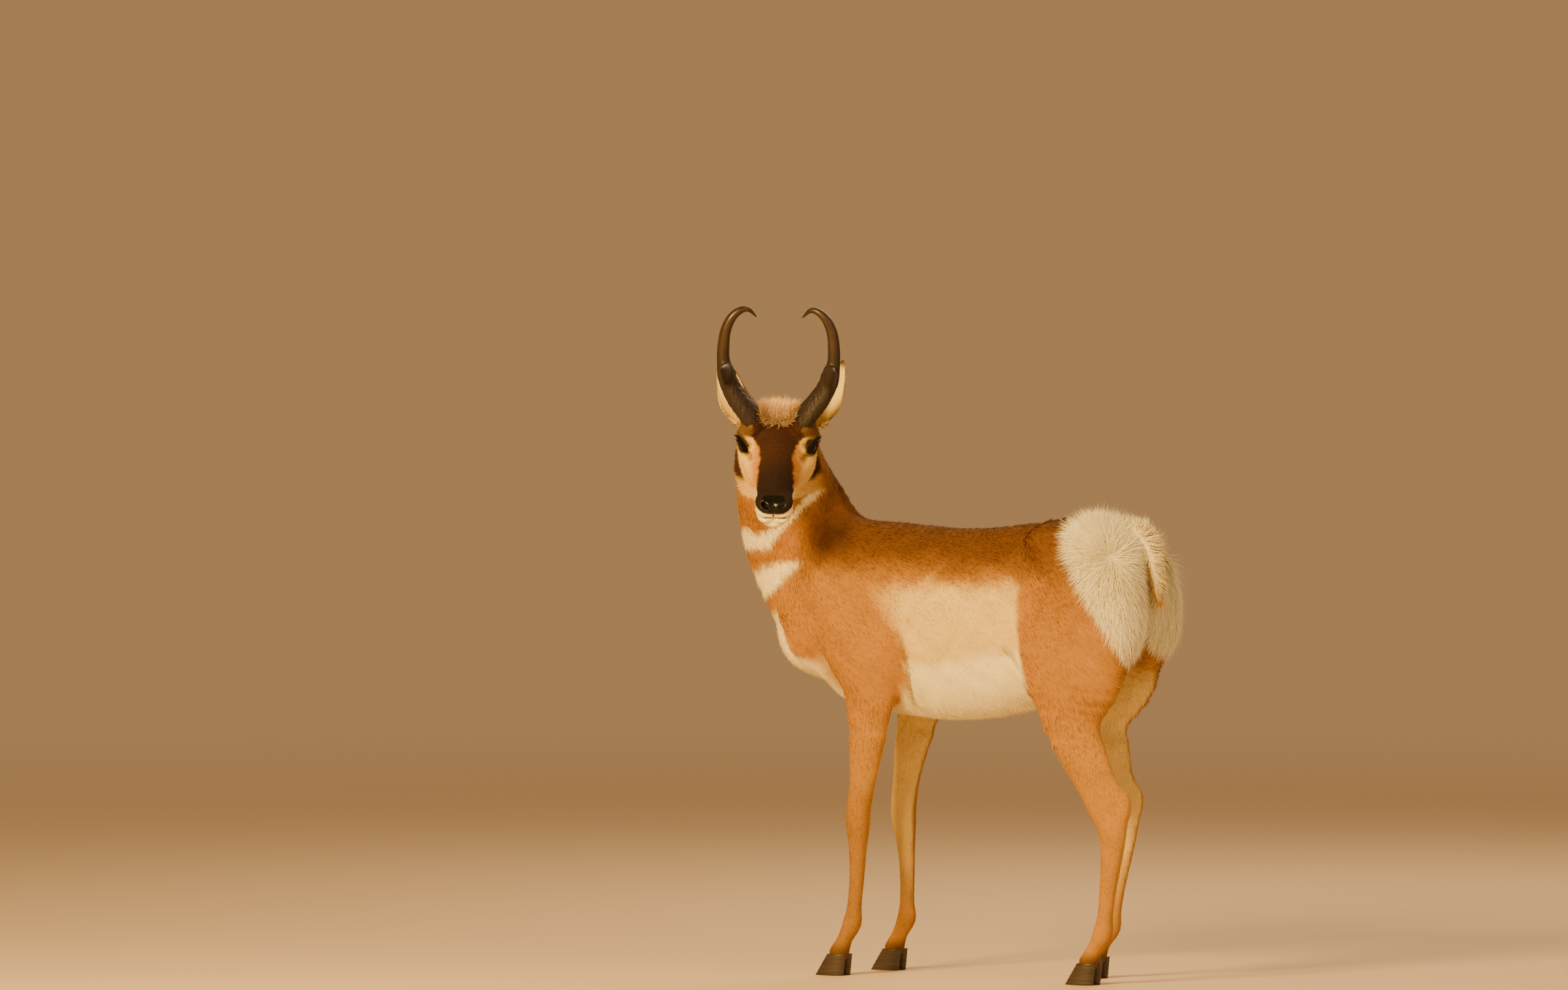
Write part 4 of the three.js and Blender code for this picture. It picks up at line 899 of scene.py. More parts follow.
def skin_samples(mesh, count, weight, seed):
    """Points strewn over the skin, as many as the weight of each face asks for."""
    mesh.calc_loop_triangles()
    tris = np.empty(len(mesh.loop_triangles) * 3, np.int32)
    mesh.loop_triangles.foreach_get("vertices", tris)
    tris = tris.reshape(-1, 3)
    co = (coordinates(mesh) - SHIFT) / MM
    a, b, c = co[tris[:, 0]], co[tris[:, 1]], co[tris[:, 2]]
    cross = np.cross(b - a, c - a)
    area = np.linalg.norm(cross, axis=1) / 2
    share = area * weight((a + b + c) / 3)
    rng = np.random.default_rng(seed)
    pick = rng.choice(len(tris), count, p=share / share.sum())
    r1, r2 = np.sqrt(rng.random(count)), rng.random(count)
    p = a[pick] * (1 - r1)[:, None] + b[pick] * (r1 * (1 - r2))[:, None] + c[pick] * (r1 * r2)[:, None]
    normals = np.empty(len(mesh.vertices) * 3, np.float32)
    mesh.vertex_normals.foreach_get("vector", normals)
    normals = normals.reshape(-1, 3)
    n = unit(normals[tris[pick, 0]] * (1 - r1)[:, None] + normals[tris[pick, 1]] * (r1 * (1 - r2))[:, None]
             + normals[tris[pick, 2]] * (r1 * r2)[:, None])
    shade = np.empty(len(mesh.vertices) * 4, np.float32)
    mesh.color_attributes["Coat"].data.foreach_get("color", shade)
    shade = shade.reshape(-1, 4)[:, :3].astype(float)
    c = shade[tris[pick, 0]] * (1 - r1)[:, None] + shade[tris[pick, 1]] * (r1 * (1 - r2))[:, None]
    return p, n, c + shade[tris[pick, 2]] * (r1 * r2)[:, None], rng


def bake_place(p, n):
    """An unwrap of the skin: a tile for each of six facings, two sides, and head or body."""
    axis = np.abs(n).argmax(1)
    facing = axis * 2 + (np.take_along_axis(n, axis[:, None], 1)[:, 0] > 0)
    half = (p[:, 1] > 0).astype(int)
    head = (p[:, 2] > 900).astype(int)
    tile = facing + 6 * (half + 2 * head)
    others = np.array([(1, 2), (0, 2), (0, 1)])[axis]
    u = np.take_along_axis(p, others[:, :1], 1)[:, 0]
    v = np.take_along_axis(p, others[:, 1:], 1)[:, 0]
    u = np.clip((u + 520) / 1060, 0.02, 0.98)
    v = np.clip(np.where(axis == 2, (v + 400) / 620, np.where(head == 1, (v - 880) / 480, v / 920)),
                0.02, 0.98)
    return np.column_stack([(tile % 6 + u) / 6, (tile // 6 + v) / 4])


def tuft_mesh(name, roots, n, lie, length, width, lift, colours, tips, rings=1, droop=0.0, seed=0):
    """Closed tapered blades of three sides, one to each root, with one bake patch each."""
    rng = np.random.default_rng(seed)
    count = len(roots)
    side = np.cross(lie, n)
    per = 3 * rings + 1
    verts = np.empty((count, per, 3))
    shade = np.empty((count, per, 3))

    def spine(s):
        """The middle of every blade at a share of its length, which rises and then droops."""
        raise_by = np.sin(lift) * s * length - droop * s * s * length
        return roots + lie * (np.cos(lift) * s * length)[:, None] + n * raise_by[:, None]

    for k in range(rings):
        s = k / (rings + 1)
        centre = spine(s) - (n * ROOT_SINK if k == 0 else 0)
        half = width * (1 - 0.35 * s)
        for j, (a, b) in enumerate(((-1, 0), (1, 0), (0, 0.45))):
            verts[:, 3 * k + j] = centre + side * (a * half)[:, None] + n * (b * half)[:, None]
            shade[:, 3 * k + j] = colours * (1 - s) + tips * s
    bend = rng.normal(0, 0.12, count) * length
    verts[:, -1] = spine(1) + side * bend[:, None]
    shade[:, -1] = tips
    faces = [(0, 1, 2)]
    for k in range(rings - 1):
        for a, b in ((0, 1), (1, 2), (2, 0)):
            faces += [(3 * k + b, 3 * k + a, 3 * k + 3 + a), (3 * k + b, 3 * k + 3 + a, 3 * k + 3 + b)]
    last = 3 * (rings - 1)
    faces += [(last + b, last + a, per - 1) for a, b in ((0, 1), (1, 2), (2, 0))]
    faces = np.array(faces)
    every = (faces[None] + (np.arange(count) * per)[:, None, None]).reshape(-1, 3)
    mesh = bpy.data.meshes.new(name)
    mesh.vertices.add(count * per)
    mesh.vertices.foreach_set("co", to_world(verts.reshape(-1, 3)).astype(np.float32).ravel())
    mesh.loops.add(every.size)
    mesh.loops.foreach_set("vertex_index", every.astype(np.int32).ravel())
    mesh.polygons.add(len(every))
    mesh.polygons.foreach_set("loop_start", np.arange(0, every.size, 3, dtype=np.int32))
    mesh.update(calc_edges=True)
    paint(mesh, shade.reshape(-1, 3))
    place = bake_place(roots, n)
    patch = np.array([(0, 0), (BAKE_PATCH, 0), (BAKE_PATCH / 2, BAKE_PATCH)])
    corner = np.tile(patch, (len(faces), 1))
    uv = (place[:, None, :] + corner[None]).reshape(-1, 2)
    layer = mesh.uv_layers.new(name="OFBake")
    layer.data.foreach_set("uv", uv.astype(np.float32).ravel())
    return mesh


# Materials.

class Value:
    """A shader socket that takes part in sums."""

    def __init__(self, nodes, socket):
        self.nodes, self.socket = nodes, socket

    def math(self, operation, *others):
        return self.nodes.node("ShaderNodeMath", {"operation": operation}, [self, *others])

    def __add__(self, other):
        return self.math("ADD", other)

    def __mul__(self, other):
        return self.math("MULTIPLY", other)

    def __sub__(self, other):
        return self.math("SUBTRACT", other)

    def __rsub__(self, other):
        return self.nodes.node("ShaderNodeMath", {"operation": "SUBTRACT"}, [other, self])

    __radd__ = __add__
    __rmul__ = __mul__


class Shader:
    """Builds one material's nodes."""

    def __init__(self, name, **settings):
        self.material = bpy.data.materials.new(name)
        self.material.use_nodes = True
        self.tree = self.material.node_tree
        self.surface = self.tree.nodes["Principled BSDF"]
        for key, value in settings.items():
            self.surface.inputs[key.replace("_", " ").title().replace("Ior", "IOR")].default_value = value

    def node(self, kind, settings=(), inputs=(), output=0):
        node = self.tree.nodes.new(kind)
        for key, value in dict(settings).items():
            setattr(node, key, value)
        items = inputs.items() if isinstance(inputs, dict) else enumerate(inputs)
        for key, value in items:
            if isinstance(value, Value):
                self.tree.links.new(value.socket, node.inputs[key])
            else:
                node.inputs[key].default_value = value
        return Value(self, node.outputs[output])

    def link(self, value, key):
        self.tree.links.new(value.socket, self.surface.inputs[key])

    def place(self):
        return self.node("ShaderNodeTexCoord", output="Object")

    def attribute(self, name, output="Color"):
        return self.node("ShaderNodeAttribute", {"attribute_name": name}, output=output)

    def noise(self, scale, detail=3.0, stretch=(1, 1, 1)):
        where = self.node("ShaderNodeMapping", {}, {"Vector": self.place(), "Scale": stretch})
        return self.node("ShaderNodeTexNoise", {}, {"Vector": where, "Scale": scale, "Detail": detail})

    def mix(self, factor, a, b, blend="MIX"):
        return self.node("ShaderNodeMix", {"data_type": "RGBA", "blend_type": blend},
                         {0: factor, 6: a, 7: b}, output=2)

    def bump(self, height, strength, distance):
        sizes = {"Height": height, "Strength": strength, "Distance": distance}
        return self.node("ShaderNodeBump", {}, sizes)


def coat_material(name, roughness=0.85):
    shader = Shader(name, specular_ior_level=0.25)
    colour = shader.attribute("Coat")
    hairy = shader.attribute("Coat", "Alpha")
    grain = shader.noise(900, 2, (1, 1, 0.35))
    fine = shader.mix(grain * hairy * 0.3, colour, (0.35, 0.2, 0.1, 1), "MULTIPLY")
    shader.link(fine, "Base Color")
    shader.link(0.24 + hairy * (roughness - 0.24), "Roughness")
    shader.link(shader.bump(grain * hairy, 0.5, 0.0012), "Normal")
    return shader.material


def tuft_material():
    shader = Shader("tuft_hair", roughness=0.75, specular_ior_level=0.2)
    colour = shader.attribute("Coat")
    wear = shader.noise(160, 3)
    shader.link(shader.mix(wear * 0.3, colour, (0.6, 0.45, 0.32, 1), "MULTIPLY"), "Base Color")
    return shader.material


def horn_material():
    shader = Shader("horn_sheath")
    tone = shader.attribute("Coat")
    streak = shader.noise(70, 5, (1, 1, 0.25))
    colour = shader.mix(streak * 0.85, tone, (0.009, 0.005, 0.003, 1))
    shader.link(colour, "Base Color")
    polish = shader.node("ShaderNodeSeparateColor", {}, [tone], output="Red")
    shader.link(0.82 - polish * 10, "Roughness")
    shader.link(shader.bump(streak, 0.6, 0.0016), "Normal")
    return shader.material


def hoof_material():
    shader = Shader("hoof_horn", roughness=0.42)
    rings = shader.noise(60, 3, (0.3, 0.3, 4.0))
    colour = shader.mix(rings, (0.012, 0.009, 0.007, 1), (0.07, 0.045, 0.03, 1))
    shader.link(colour, "Base Color")
    shader.link(shader.bump(rings, 0.35, 0.0008), "Normal")
    return shader.material


def eye_material():
    shader = Shader("eye_wet", roughness=0.04, specular_ior_level=0.3)
    tone = shader.attribute("Coat")
    shader.link(tone, "Base Color")
    return shader.material


# Pieces.

def ear_width(s):
    """Share of the ear's full width from the root at 0 to the tip at 1."""
    return np.sin(np.pi * min(0.22 + 0.78 * s, 1)) ** 0.8 * (1 - 0.12 * s)


def ear_sheets(side):
    """The points of the ear's outer and inner sheets in the head's frame, one after the other."""
    along = unit(flipped(EAR["along"], side))
    facing = np.array(flipped(EAR["facing"], side), float)
    facing = unit(facing - along * facing.dot(along))
    across = np.cross(along, facing)
    root = np.array(flipped(EAR["root"], side), float)
    sheets = []
    for inset in (0.4, EAR["wall"] - 0.4):
        points = []
        for r in range(EAR_ROWS + 1):
            s = r / EAR_ROWS
            half = EAR["width"] * max(ear_width(s), 0.03) - inset * 0.4
            bend = 2.5 + (0.75 - 2.5) * min(s * 1.5, 1)
            radius = half / math.sin(min(bend, math.pi / 2))
            lift = -10 + (EAR["length"] + 8) * s + 6 * math.sin(math.pi * s)
            for c in range(EAR_COLUMNS + 1):
                angle = bend * (2 * c / EAR_COLUMNS - 1)
                depth = radius * (math.cos(bend * 0.6) - math.cos(angle))
                ridge = 0.8 * math.sin(3 * angle + 2) * math.sin(math.pi * s)
                points.append(root + along * lift + across * radius * math.sin(angle)
                              + facing * (depth + inset - 16 * s * s + ridge))
        sheets.append(np.array(points))
    return np.vstack(sheets)


def sheet_faces(rows=EAR_ROWS, columns=EAR_COLUMNS):
    """The faces of two sheets that are closed along all four edges."""
    width = columns + 1
    count = (rows + 1) * width
    faces = []
    for r in range(rows):
        for c in range(columns):
            a = r * width + c
            faces.append((a, a + width, a + width + 1, a + 1))
            b = a + count
            faces.append((b, b + 1, b + width + 1, b + width))
        a = r * width
        faces.append((a, a + count, a + width + count, a + width))
        b = a + columns
        faces.append((b, b + width, b + width + count, b + count))
    for c in range(columns):
        faces.append((c, c + 1, c + 1 + count, c + count))
        a = rows * width + c
        faces.append((a, a + count, a + 1 + count, a + 1))
    return faces


def eye_frame(side):
    """Where an eye looks, its up and its front corner, as directions in the head's frame."""
    turn = math.radians(EYE_TURN)
    ahead = unit((math.sin(turn), side * math.cos(turn), -0.04))
    up = unit(np.array((0.0, 0.0, 1.0)) - ahead * ahead[2])
    front = np.cross(up, ahead) * side
    tilt = math.radians(EYE_TILT)
    return ahead, up * math.cos(tilt) - front * math.sin(tilt), front * math.cos(tilt) + up * math.sin(tilt)


def lid_points(side, rows=9, columns=48):
    """The two lids of an eye as one closed ring round its almond opening."""
    ahead, up, front = eye_frame(side)
    centre = np.array(flipped(EYE_AT, side), float)
    loops = []
    for inner in (True, False):
        order = range(rows, -1, -1) if inner else range(rows + 1)
        for r in order:
            s = r / rows
            loop = []
            for k in range(columns):
                a = 2 * math.pi * k / columns
                tall = SLIT_ABOVE if math.sin(a) > 0 else SLIT_BELOW
                slit = math.radians(1 / math.hypot(math.cos(a) / SLIT_WIDE, math.sin(a) / tall))
                angle = slit + (math.radians(82) - slit) * s
                direction = (ahead * math.cos(angle)
                             + (front * math.cos(a) + up * math.sin(a)) * math.sin(angle))
                swell = (2.2 + max(math.sin(a), 0)) * (1 - s) ** 0.5 + 0.9 * math.sin(s * 9) * (1 - s)
                radius = EYE_RADIUS + (0.25 if inner else 0.9 + swell - 6 * s * s)
                loop.append(centre + direction * (radius - (2.5 * s if inner else 0)))
            loops.append(loop)
    points = np.array(loops).reshape(-1, 3)
    total = len(loops)
    faces = []
    for r in range(total):
        for k in range(columns):
            a, b = r * columns + k, r * columns + (k + 1) % columns
            c, d = ((r + 1) % total) * columns + (k + 1) % columns, ((r + 1) % total) * columns + k
            faces.append((a, b, c, d))
    return points, faces


def refine_face(points, quads):
    """Splits the quads of the face twice, so that its features have enough points."""
    for level in range(2):
        q = to_head(points)
        centre = q[quads].mean(1)
        region = within(centre, (45, 0, -14), (146, 88, 80))
        if level:
            region &= (centre[:, 0] > 88) | (eye_gap(centre) < 52)
        mesh = new_mesh("face_work", points, quads)
        work = bmesh.new()
        work.from_mesh(mesh)
        work.faces.ensure_lookup_table()
        chosen = {e for k in np.flatnonzero(region) for e in work.faces[int(k)].edges}
        bmesh.ops.subdivide_edges(work, edges=list(chosen), cuts=1, use_grid_fill=True)
        bmesh.ops.triangulate(work, faces=[f for f in work.faces if len(f.verts) > 4])
        work.verts.ensure_lookup_table()
        points = np.array([v.co[:] for v in work.verts])
        faces = [[v.index for v in f.verts] for f in work.faces]
        work.free()
        bpy.data.meshes.remove(mesh)
        if level == 0:
            quads = np.array([f if len(f) == 4 else f + [f[-1]] for f in faces])
    return points, faces


class PRONGHORN_OT_skin(bpy.types.Operator):
    """Make the skin with its lids and ears"""
    bl_idname = "pronghorn.skin"
    bl_label = "Skin"

    def execute(self, context):
        sizes = context.scene.pronghorn_body
        points, quads = grid_quads(skin_field, *SKIN_BOX, sizes.cell)
        points, faces = refine_face(points, quads)
        points = settle(skin_field, points)
        faces = [tuple(dict.fromkeys(f)) for f in faces]
        faces = [f for f in faces if len(f) > 2]
        parts = [(points, faces)]
        for side in SIDES.values():
            ear = ear_sheets(side)
            parts.append((from_head(ear), outward(ear, sheet_faces())))
            lid, lid_faces = lid_points(side)
            parts.append((from_head(lid), outward(lid, lid_faces)))
        p, every = joined(parts)
        mesh = new_mesh("skin", to_world(p), every)
        normals = np.empty(len(mesh.vertices) * 3, np.float32)
        mesh.vertex_normals.foreach_get("vector", normals)
        colours = markings(p, normals.reshape(-1, 3).astype(float))
        self.ear_colours(colours, parts)
        q = to_head(p)
        paint(mesh, colours, 1 - nose_pad(q) * within(q, 0, 220))
        skin = new_object("skin", mesh, coat_material("short_fur"))
        names = [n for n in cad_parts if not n.startswith(("eye", "horn")) and "hoof" not in n]
        finish_piece(skin, "coat", *names)
        return {"FINISHED"}

    def ear_colours(self, colours, parts):
        """Cream inside the ears, tan outside with a dark rim and tip, and dark lids."""
        coat = bpy.context.scene.pronghorn_coat
        tan, cream, dark = np.array(coat.tan), np.array(coat.cream), np.array(coat.dark)
        body, *ears_and_lids = [len(points) for points, _ in parts]
        half = ears_and_lids[0] // 2
        place = np.arange(half)
        height = place // (EAR_COLUMNS + 1) / EAR_ROWS
        rim = np.abs(place % (EAR_COLUMNS + 1) / (EAR_COLUMNS / 2) - 1)
        edge = np.maximum(smooth(0.84, 0.97, rim) * smooth(0.3, 0.6, height), smooth(0.84, 0.95, height))
        outer = blend_to(np.tile(tan * 0.8, (half, 1)), dark, edge)
        inner = blend_to(np.tile(cream * 1.06, (half, 1)), dark * 1.5, edge * 0.9)
        start = body
        for ear, lid in zip(ears_and_lids[::2], ears_and_lids[1::2]):
            colours[start:start + ear] = np.vstack([outer, inner])
            colours[start + ear:start + ear + lid] = dark * 1.1
            start += ear + lid


def eye_points(side, rows=40, columns=48):
    """The eyeball's points, with the cornea's bulge, and its iris and pupil."""
    ahead, up, front = eye_frame(side)
    centre = np.array(flipped(EYE_AT, side), float)
    points, colours = [], []
    for r in range(rows + 1):
        angle = math.pi * r / rows
        for k in range(columns):
            a = 2 * math.pi * k / columns
            bulge = 1.3 * math.exp(-(angle / 0.62) ** 4)
            radius = EYE_RADIUS - 1.3 + bulge
            across, tall = math.cos(a) * math.sin(angle), math.sin(a) * math.sin(angle)
            points.append(centre + radius * (ahead * math.cos(angle) + front * across + up * tall))
            pupil = math.hypot(across / 0.42, tall / 0.2) < 1
            iris = angle < IRIS_ANGLE
            colours.append(PUPIL if pupil else IRIS if iris else SCLERA)
    faces = []
    for r in range(rows):
        for k in range(columns):
            a, b = r * columns + k, r * columns + (k + 1) % columns
            faces.append((a, b, b + columns, a + columns))
    return np.array(points), faces, np.array(colours)


class PRONGHORN_OT_eyes(bpy.types.Operator):
    """Make the two eyes with iris and level pupil"""
    bl_idname = "pronghorn.eyes"
    bl_label = "Eyes"

    def execute(self, context):
        material = eye_material()
        for name, side in HEAD_SIDES.items():
            points, faces, colours = eye_points(side)
            mesh = new_mesh(f"eyeball_{name}", to_world(from_head(points)), outward(points, faces))
            paint(mesh, colours)
            weld(mesh)
            obj = new_object(f"eyeball_{name}", mesh, material)
            finish_piece(obj, "eye", f"eye_{name}")
        return {"FINISHED"}


class PRONGHORN_OT_horns(bpy.types.Operator):
    """Make the pronged horns, rough below and polished towards the hooked tips"""
    bl_idname = "pronghorn.horns"
    bl_label = "Horns"

    def execute(self, context):
        material = horn_material()
        for name, side in HEAD_SIDES.items():
            rough = self.sheath(side)
            low, high = (-90, min(side * 20, side * 130), 30), (48, max(side * 20, side * 130), 280)
            points, quads = grid_quads(rough, low, high, HORN_CELL)
            points = settle(rough, points, 1, 1.0)
            mesh = new_mesh(f"horn_sheath_{name}", to_world(from_head(points)), quads)
            paint(mesh, self.tones(points))
            obj = new_object(f"horn_sheath_{name}", mesh, material)
            finish_piece(obj, "horn", f"horn_{name}")
        return {"FINISHED"}

    def sheath(self, side):
        """One horn and its prong, with the relief of its surface."""
        beam = loft([flipped(s, side) for s in HORN], always((1, 0, 0)), steps=5)
        prong = loft([flipped(s, side) for s in PRONG], always((0, 0, 1)), steps=4)
        smooth_horn = blended([(beam, 0), (prong, 7)])

        def field(q):
            return smooth_horn(q) + self.relief(q)
        return field

    def tones(self, q):
        """Dark below and on the prong and tip, and a polished brown between."""
        polish = smooth(150, 215, q[:, 2]) * (0.75 + 0.25 * blotch(q, 30, 6))
        colours = blend_to(np.tile(DARK_HORN, (len(q), 1)), POLISHED_HORN, np.clip(polish, 0, 1))
        colours = blend_to(colours, PRONG_HORN, smooth(8, 30, q[:, 0]) * 0.8)
        return blend_to(colours, TIP_HORN, smooth(-66, -72, q[:, 0]))

    def relief(self, q):
        """Bark-like ridges that run up the lower horn."""
        low = np.maximum(smooth(185, 130, q[:, 2]), 0.7 * smooth(-14, 0, q[:, 0]))
        ridged = np.column_stack([q[:, 0], q[:, 1], q[:, 2] * 0.16])
        return low * (blotch(ridged, 9, 7) + 0.5 * blotch(ridged, 4, 8)) * 0.8 + 0.3


class PRONGHORN_OT_hooves(bpy.types.Operator):
    """Make the eight claws of the cloven hooves"""
    bl_idname = "pronghorn.hooves"
    bl_label = "Hooves"

    def execute(self, context):
        claws, nodes = [], []
        for kind in ("fore", "hind"):
            for name, side in SIDES.items():
                foot = leg_stations(kind, name)[-1]
                for part, away in (("outer", 1), ("inner", -1)):
                    claws.append(join_rings(self.claw(foot, side, away)))
                    nodes.append(f"{kind}_hoof_{name}_{part}")
        points, faces = joined(claws)
        mesh = new_mesh("hooves", to_world(points), faces)
        obj = new_object("hooves", mesh, hoof_material())
        finish_piece(obj, "hoof", *nodes)
        return {"FINISHED"}

    def claw(self, foot, side, away, levels=16, sides=32):
        """The rings of one claw from the sole up, longer and sharper at the toe."""
        top_length, top_width = 21, 10.5
        rings = []
        for k in range(levels + 1):
            t = k / levels
            ridge = 0.35 * math.sin(t * 34)
            long = HOOF_LENGTH / 2 + (top_length - HOOF_LENGTH / 2) * t + ridge
            wide = HOOF_WIDTH / 2 + (top_width - HOOF_WIDTH / 2) * t + ridge * 0.5
            if k == 0:
                long, wide = long - 0.6, wide - 0.6
            ring = []
            for j in range(sides):
                a = 2 * math.pi * j / sides
                toe = max(-math.cos(a), 0)
                x = math.cos(a) * long
                y = math.sin(a) * wide * (1 - 0.45 * toe * toe * (1 - 0.4 * t))
                ring.append((foot[0] - 15 + 16 * t + x,
                             foot[1] + side * away * HOOF_SPREAD * (1 - 0.1 * t) + y, t * CORONET))
            rings.append(ring)
        return rings


# The coat.

def tone(rng, colours, spread):
    """Colours that differ a little in brightness from hair to hair."""
    shade = 1 + rng.normal(0, spread, (len(colours), 1))
    return np.clip(colours * shade, 0.003, 0.97)


def add_tufts(mesh, material, slot):
    finish_piece(new_object(mesh.name, mesh, material, shade=False), slot)


class PRONGHORN_OT_lashes(bpy.types.Operator):
    """Set the long lashes along the upper lids"""
    bl_idname = "pronghorn.lashes"
    bl_label = "Lashes"

    def execute(self, context):
        rng = np.random.default_rng(21)
        roots, normals, lies, sizes = [], [], [], []
        for side in SIDES.values():
            ahead, up, front = eye_frame(side)
            centre = np.array(flipped(EYE_AT, side), float)
            for _ in range(LASHES):
                a = math.radians(rng.uniform(8, 178))
                slit = 1 / math.hypot(math.cos(a) / SLIT_WIDE, math.sin(a) / SLIT_ABOVE)
                angle = math.radians(slit + rng.uniform(0, 7))
                around = front * math.cos(a) + up * math.sin(a)
                out = ahead * math.cos(angle) + around * math.sin(angle)
                roots.append(centre + out * (EYE_RADIUS + 2.5))
                lies.append(np.array((0.2, side, 0.08)) + around * 0.3 + rng.normal(0, 0.07, 3))
                normals.append(up + rng.normal(0, 0.1, 3))
                sizes.append(rng.uniform(11, 21) * (1.1 if a > 1.2 else 0.65))
        roots, n, lie = from_head(np.array(roots)), unit(normals) @ HEAD_R.T, unit(lies) @ HEAD_R.T
        lie = unit(laid_flat(lie, n))
        count = len(roots)
        black = np.full((count, 3), LASH_BLACK)
        mesh = tuft_mesh("coat_lashes", roots, n, lie, np.array(sizes), width=np.full(count, 0.42),
                         lift=np.full(count, 0.1), colours=black, tips=black, rings=3, droop=-0.3, seed=9)
        add_tufts(mesh, tuft_material(), "face")
        return {"FINISHED"}


class PRONGHORN_OT_coat(bpy.types.Operator):
    """Grow the coat: flat short tufts, long rump hair, crown tuft, mane, face and feet"""
    bl_idname = "pronghorn.coat"
    bl_label = "Coat"

    def execute(self, context):
        coat = context.scene.pronghorn_coat
        thin = 1
        skin = bpy.data.objects["skin"].data
        material = tuft_material()
        self.short(skin, coat.short_count // thin, material)
        self.rump(skin, coat.rump_count // thin, material)
        self.head(skin, coat.head_count // thin, material)
        self.crest(skin, coat.crest_count // thin, material)
        return {"FINISHED"}

    def short(self, skin, count, material):
        """The flat coat of body, legs and ears, in pieces of a size that can be exported."""
        def weight(p):
            q = to_head(p)
            head = within(q, (60, 0, -10), (150, 90, 95)) & (q[:, 0] > -60)
            leg = smooth(470, 300, p[:, 2])
            return np.where(head, 0.0, 1.0 + 1.4 * leg) * (1 - 0.8 * rump_mask(p, 0)) * (p[:, 2] > 40)
        p, n, colours, rng = skin_samples(skin, count, weight, 11)
        lie = unit(hair_lie(p, n) + rng.normal(0, 0.12, p.shape))
        leg = smooth(520, 330, p[:, 2])
        foot = smooth(200, 60, p[:, 2])
        q = to_head(p)
        ear = smooth(-40, -60, q[:, 0]) * smooth(40, 60, np.abs(q[:, 1])) * smooth(0, 20, q[:, 2])
        ear = ear * within(q, 0, 190)
        tail = smooth(20, 12, np.abs(p[:, 1])) * smooth(410, 430, p[:, 0]) * smooth(690, 710, p[:, 2])
        length = (12 * (1 - leg) + 6.5 * leg - 2 * foot) * (1 - 0.6 * ear) * (1 + 1.2 * tail)
        length = length * rng.uniform(0.7, 1.25, count)
        width = (0.9 * (1 - leg) + 0.6 * leg) * (1 - 0.4 * ear)
        lift = np.radians(8 - leg) * rng.uniform(0.5, 1.5, count) * (1 - 0.5 * ear)
        roots = tone(rng, colours * 0.94, 0.07)
        tips = tone(rng, colours * 1.06, 0.07)
        for start in range(0, count, PIECE_TUFTS):
            cut = slice(start, min(start + PIECE_TUFTS, count))
            mesh = tuft_mesh(f"coat_short_{start // PIECE_TUFTS}", p[cut], n[cut], lie[cut], length[cut],
                             width[cut], lift[cut], roots[cut], tips[cut], seed=start)
            add_tufts(mesh, material, "coat")

    def rump(self, skin, count, material):
        """Long white hair that lies away from the parting of each rump patch."""
        for name, side in SIDES.items():
            def weight(q, side=side):
                return rump_mask(q, 0) * (q[:, 1] * side > 0) + 1e-9
            p, n, colours, rng = skin_samples(skin, count // 2, weight, 12 + side)
            parting = np.linalg.norm(p - (ROSETTE[0], ROSETTE[1] * side, ROSETTE[2]), axis=1)
            stray = 0.10 + 0.5 * np.exp(-(parting / 30) ** 2)
            lie = unit(hair_lie(p, n) + rng.normal(0, 1, p.shape) * stray[:, None])
            high = smooth(790, 880, p[:, 2])
            tail = smooth(24, 12, np.abs(p[:, 1]))
            length = (44 + 8 * high) * (1 - 0.4 * tail) * rng.uniform(0.5, 1.15, len(p))
            lift = np.radians(15 + 13 * high - 8 * tail) * rng.uniform(0.5, 1.4, len(p))
            roots = tone(rng, colours * (0.94, 0.88, 0.78), 0.05)
            tips = tone(rng, colours * 1.04, 0.04)
            mesh = tuft_mesh(f"coat_rump_{name}", p, n, lie, length, np.full(len(p), 0.6), lift, roots, tips,
                             rings=2, droop=0.16, seed=5)
            add_tufts(mesh, material, "white_hair")

    def head(self, skin, count, material):
        """The face's short hair, which leaves the lids and the nose bare."""
        def weight(p):
            q = to_head(p)
            here = within(q, (40, 0, -10), (136, 90, 90)) & (q[:, 0] > -70) & (eye_gap(q) > 21.5)
            nose = (q[:, 0] > 158) & (q[:, 2] > -48) & (np.abs(q[:, 1]) < 28)
            return here * ~nose * 1.0 + 1e-9
        p, n, colours, rng = skin_samples(skin, count, weight, 13)
        q = to_head(p)
        lie = unit(hair_lie(p, n) + rng.normal(0, 0.1, p.shape))
        back = smooth(60, -60, q[:, 0])
        length = (4.5 + 7 * back) * rng.uniform(0.7, 1.3, count)
        roots = tone(rng, colours * 0.9, 0.08)
        tips = tone(rng, colours * 1.1, 0.1)
        mesh = tuft_mesh("coat_face", p, n, lie, length, 0.45 + 0.35 * back, np.radians(14 + 4 * back),
                         roots, tips, seed=6)
        add_tufts(mesh, material, "face")

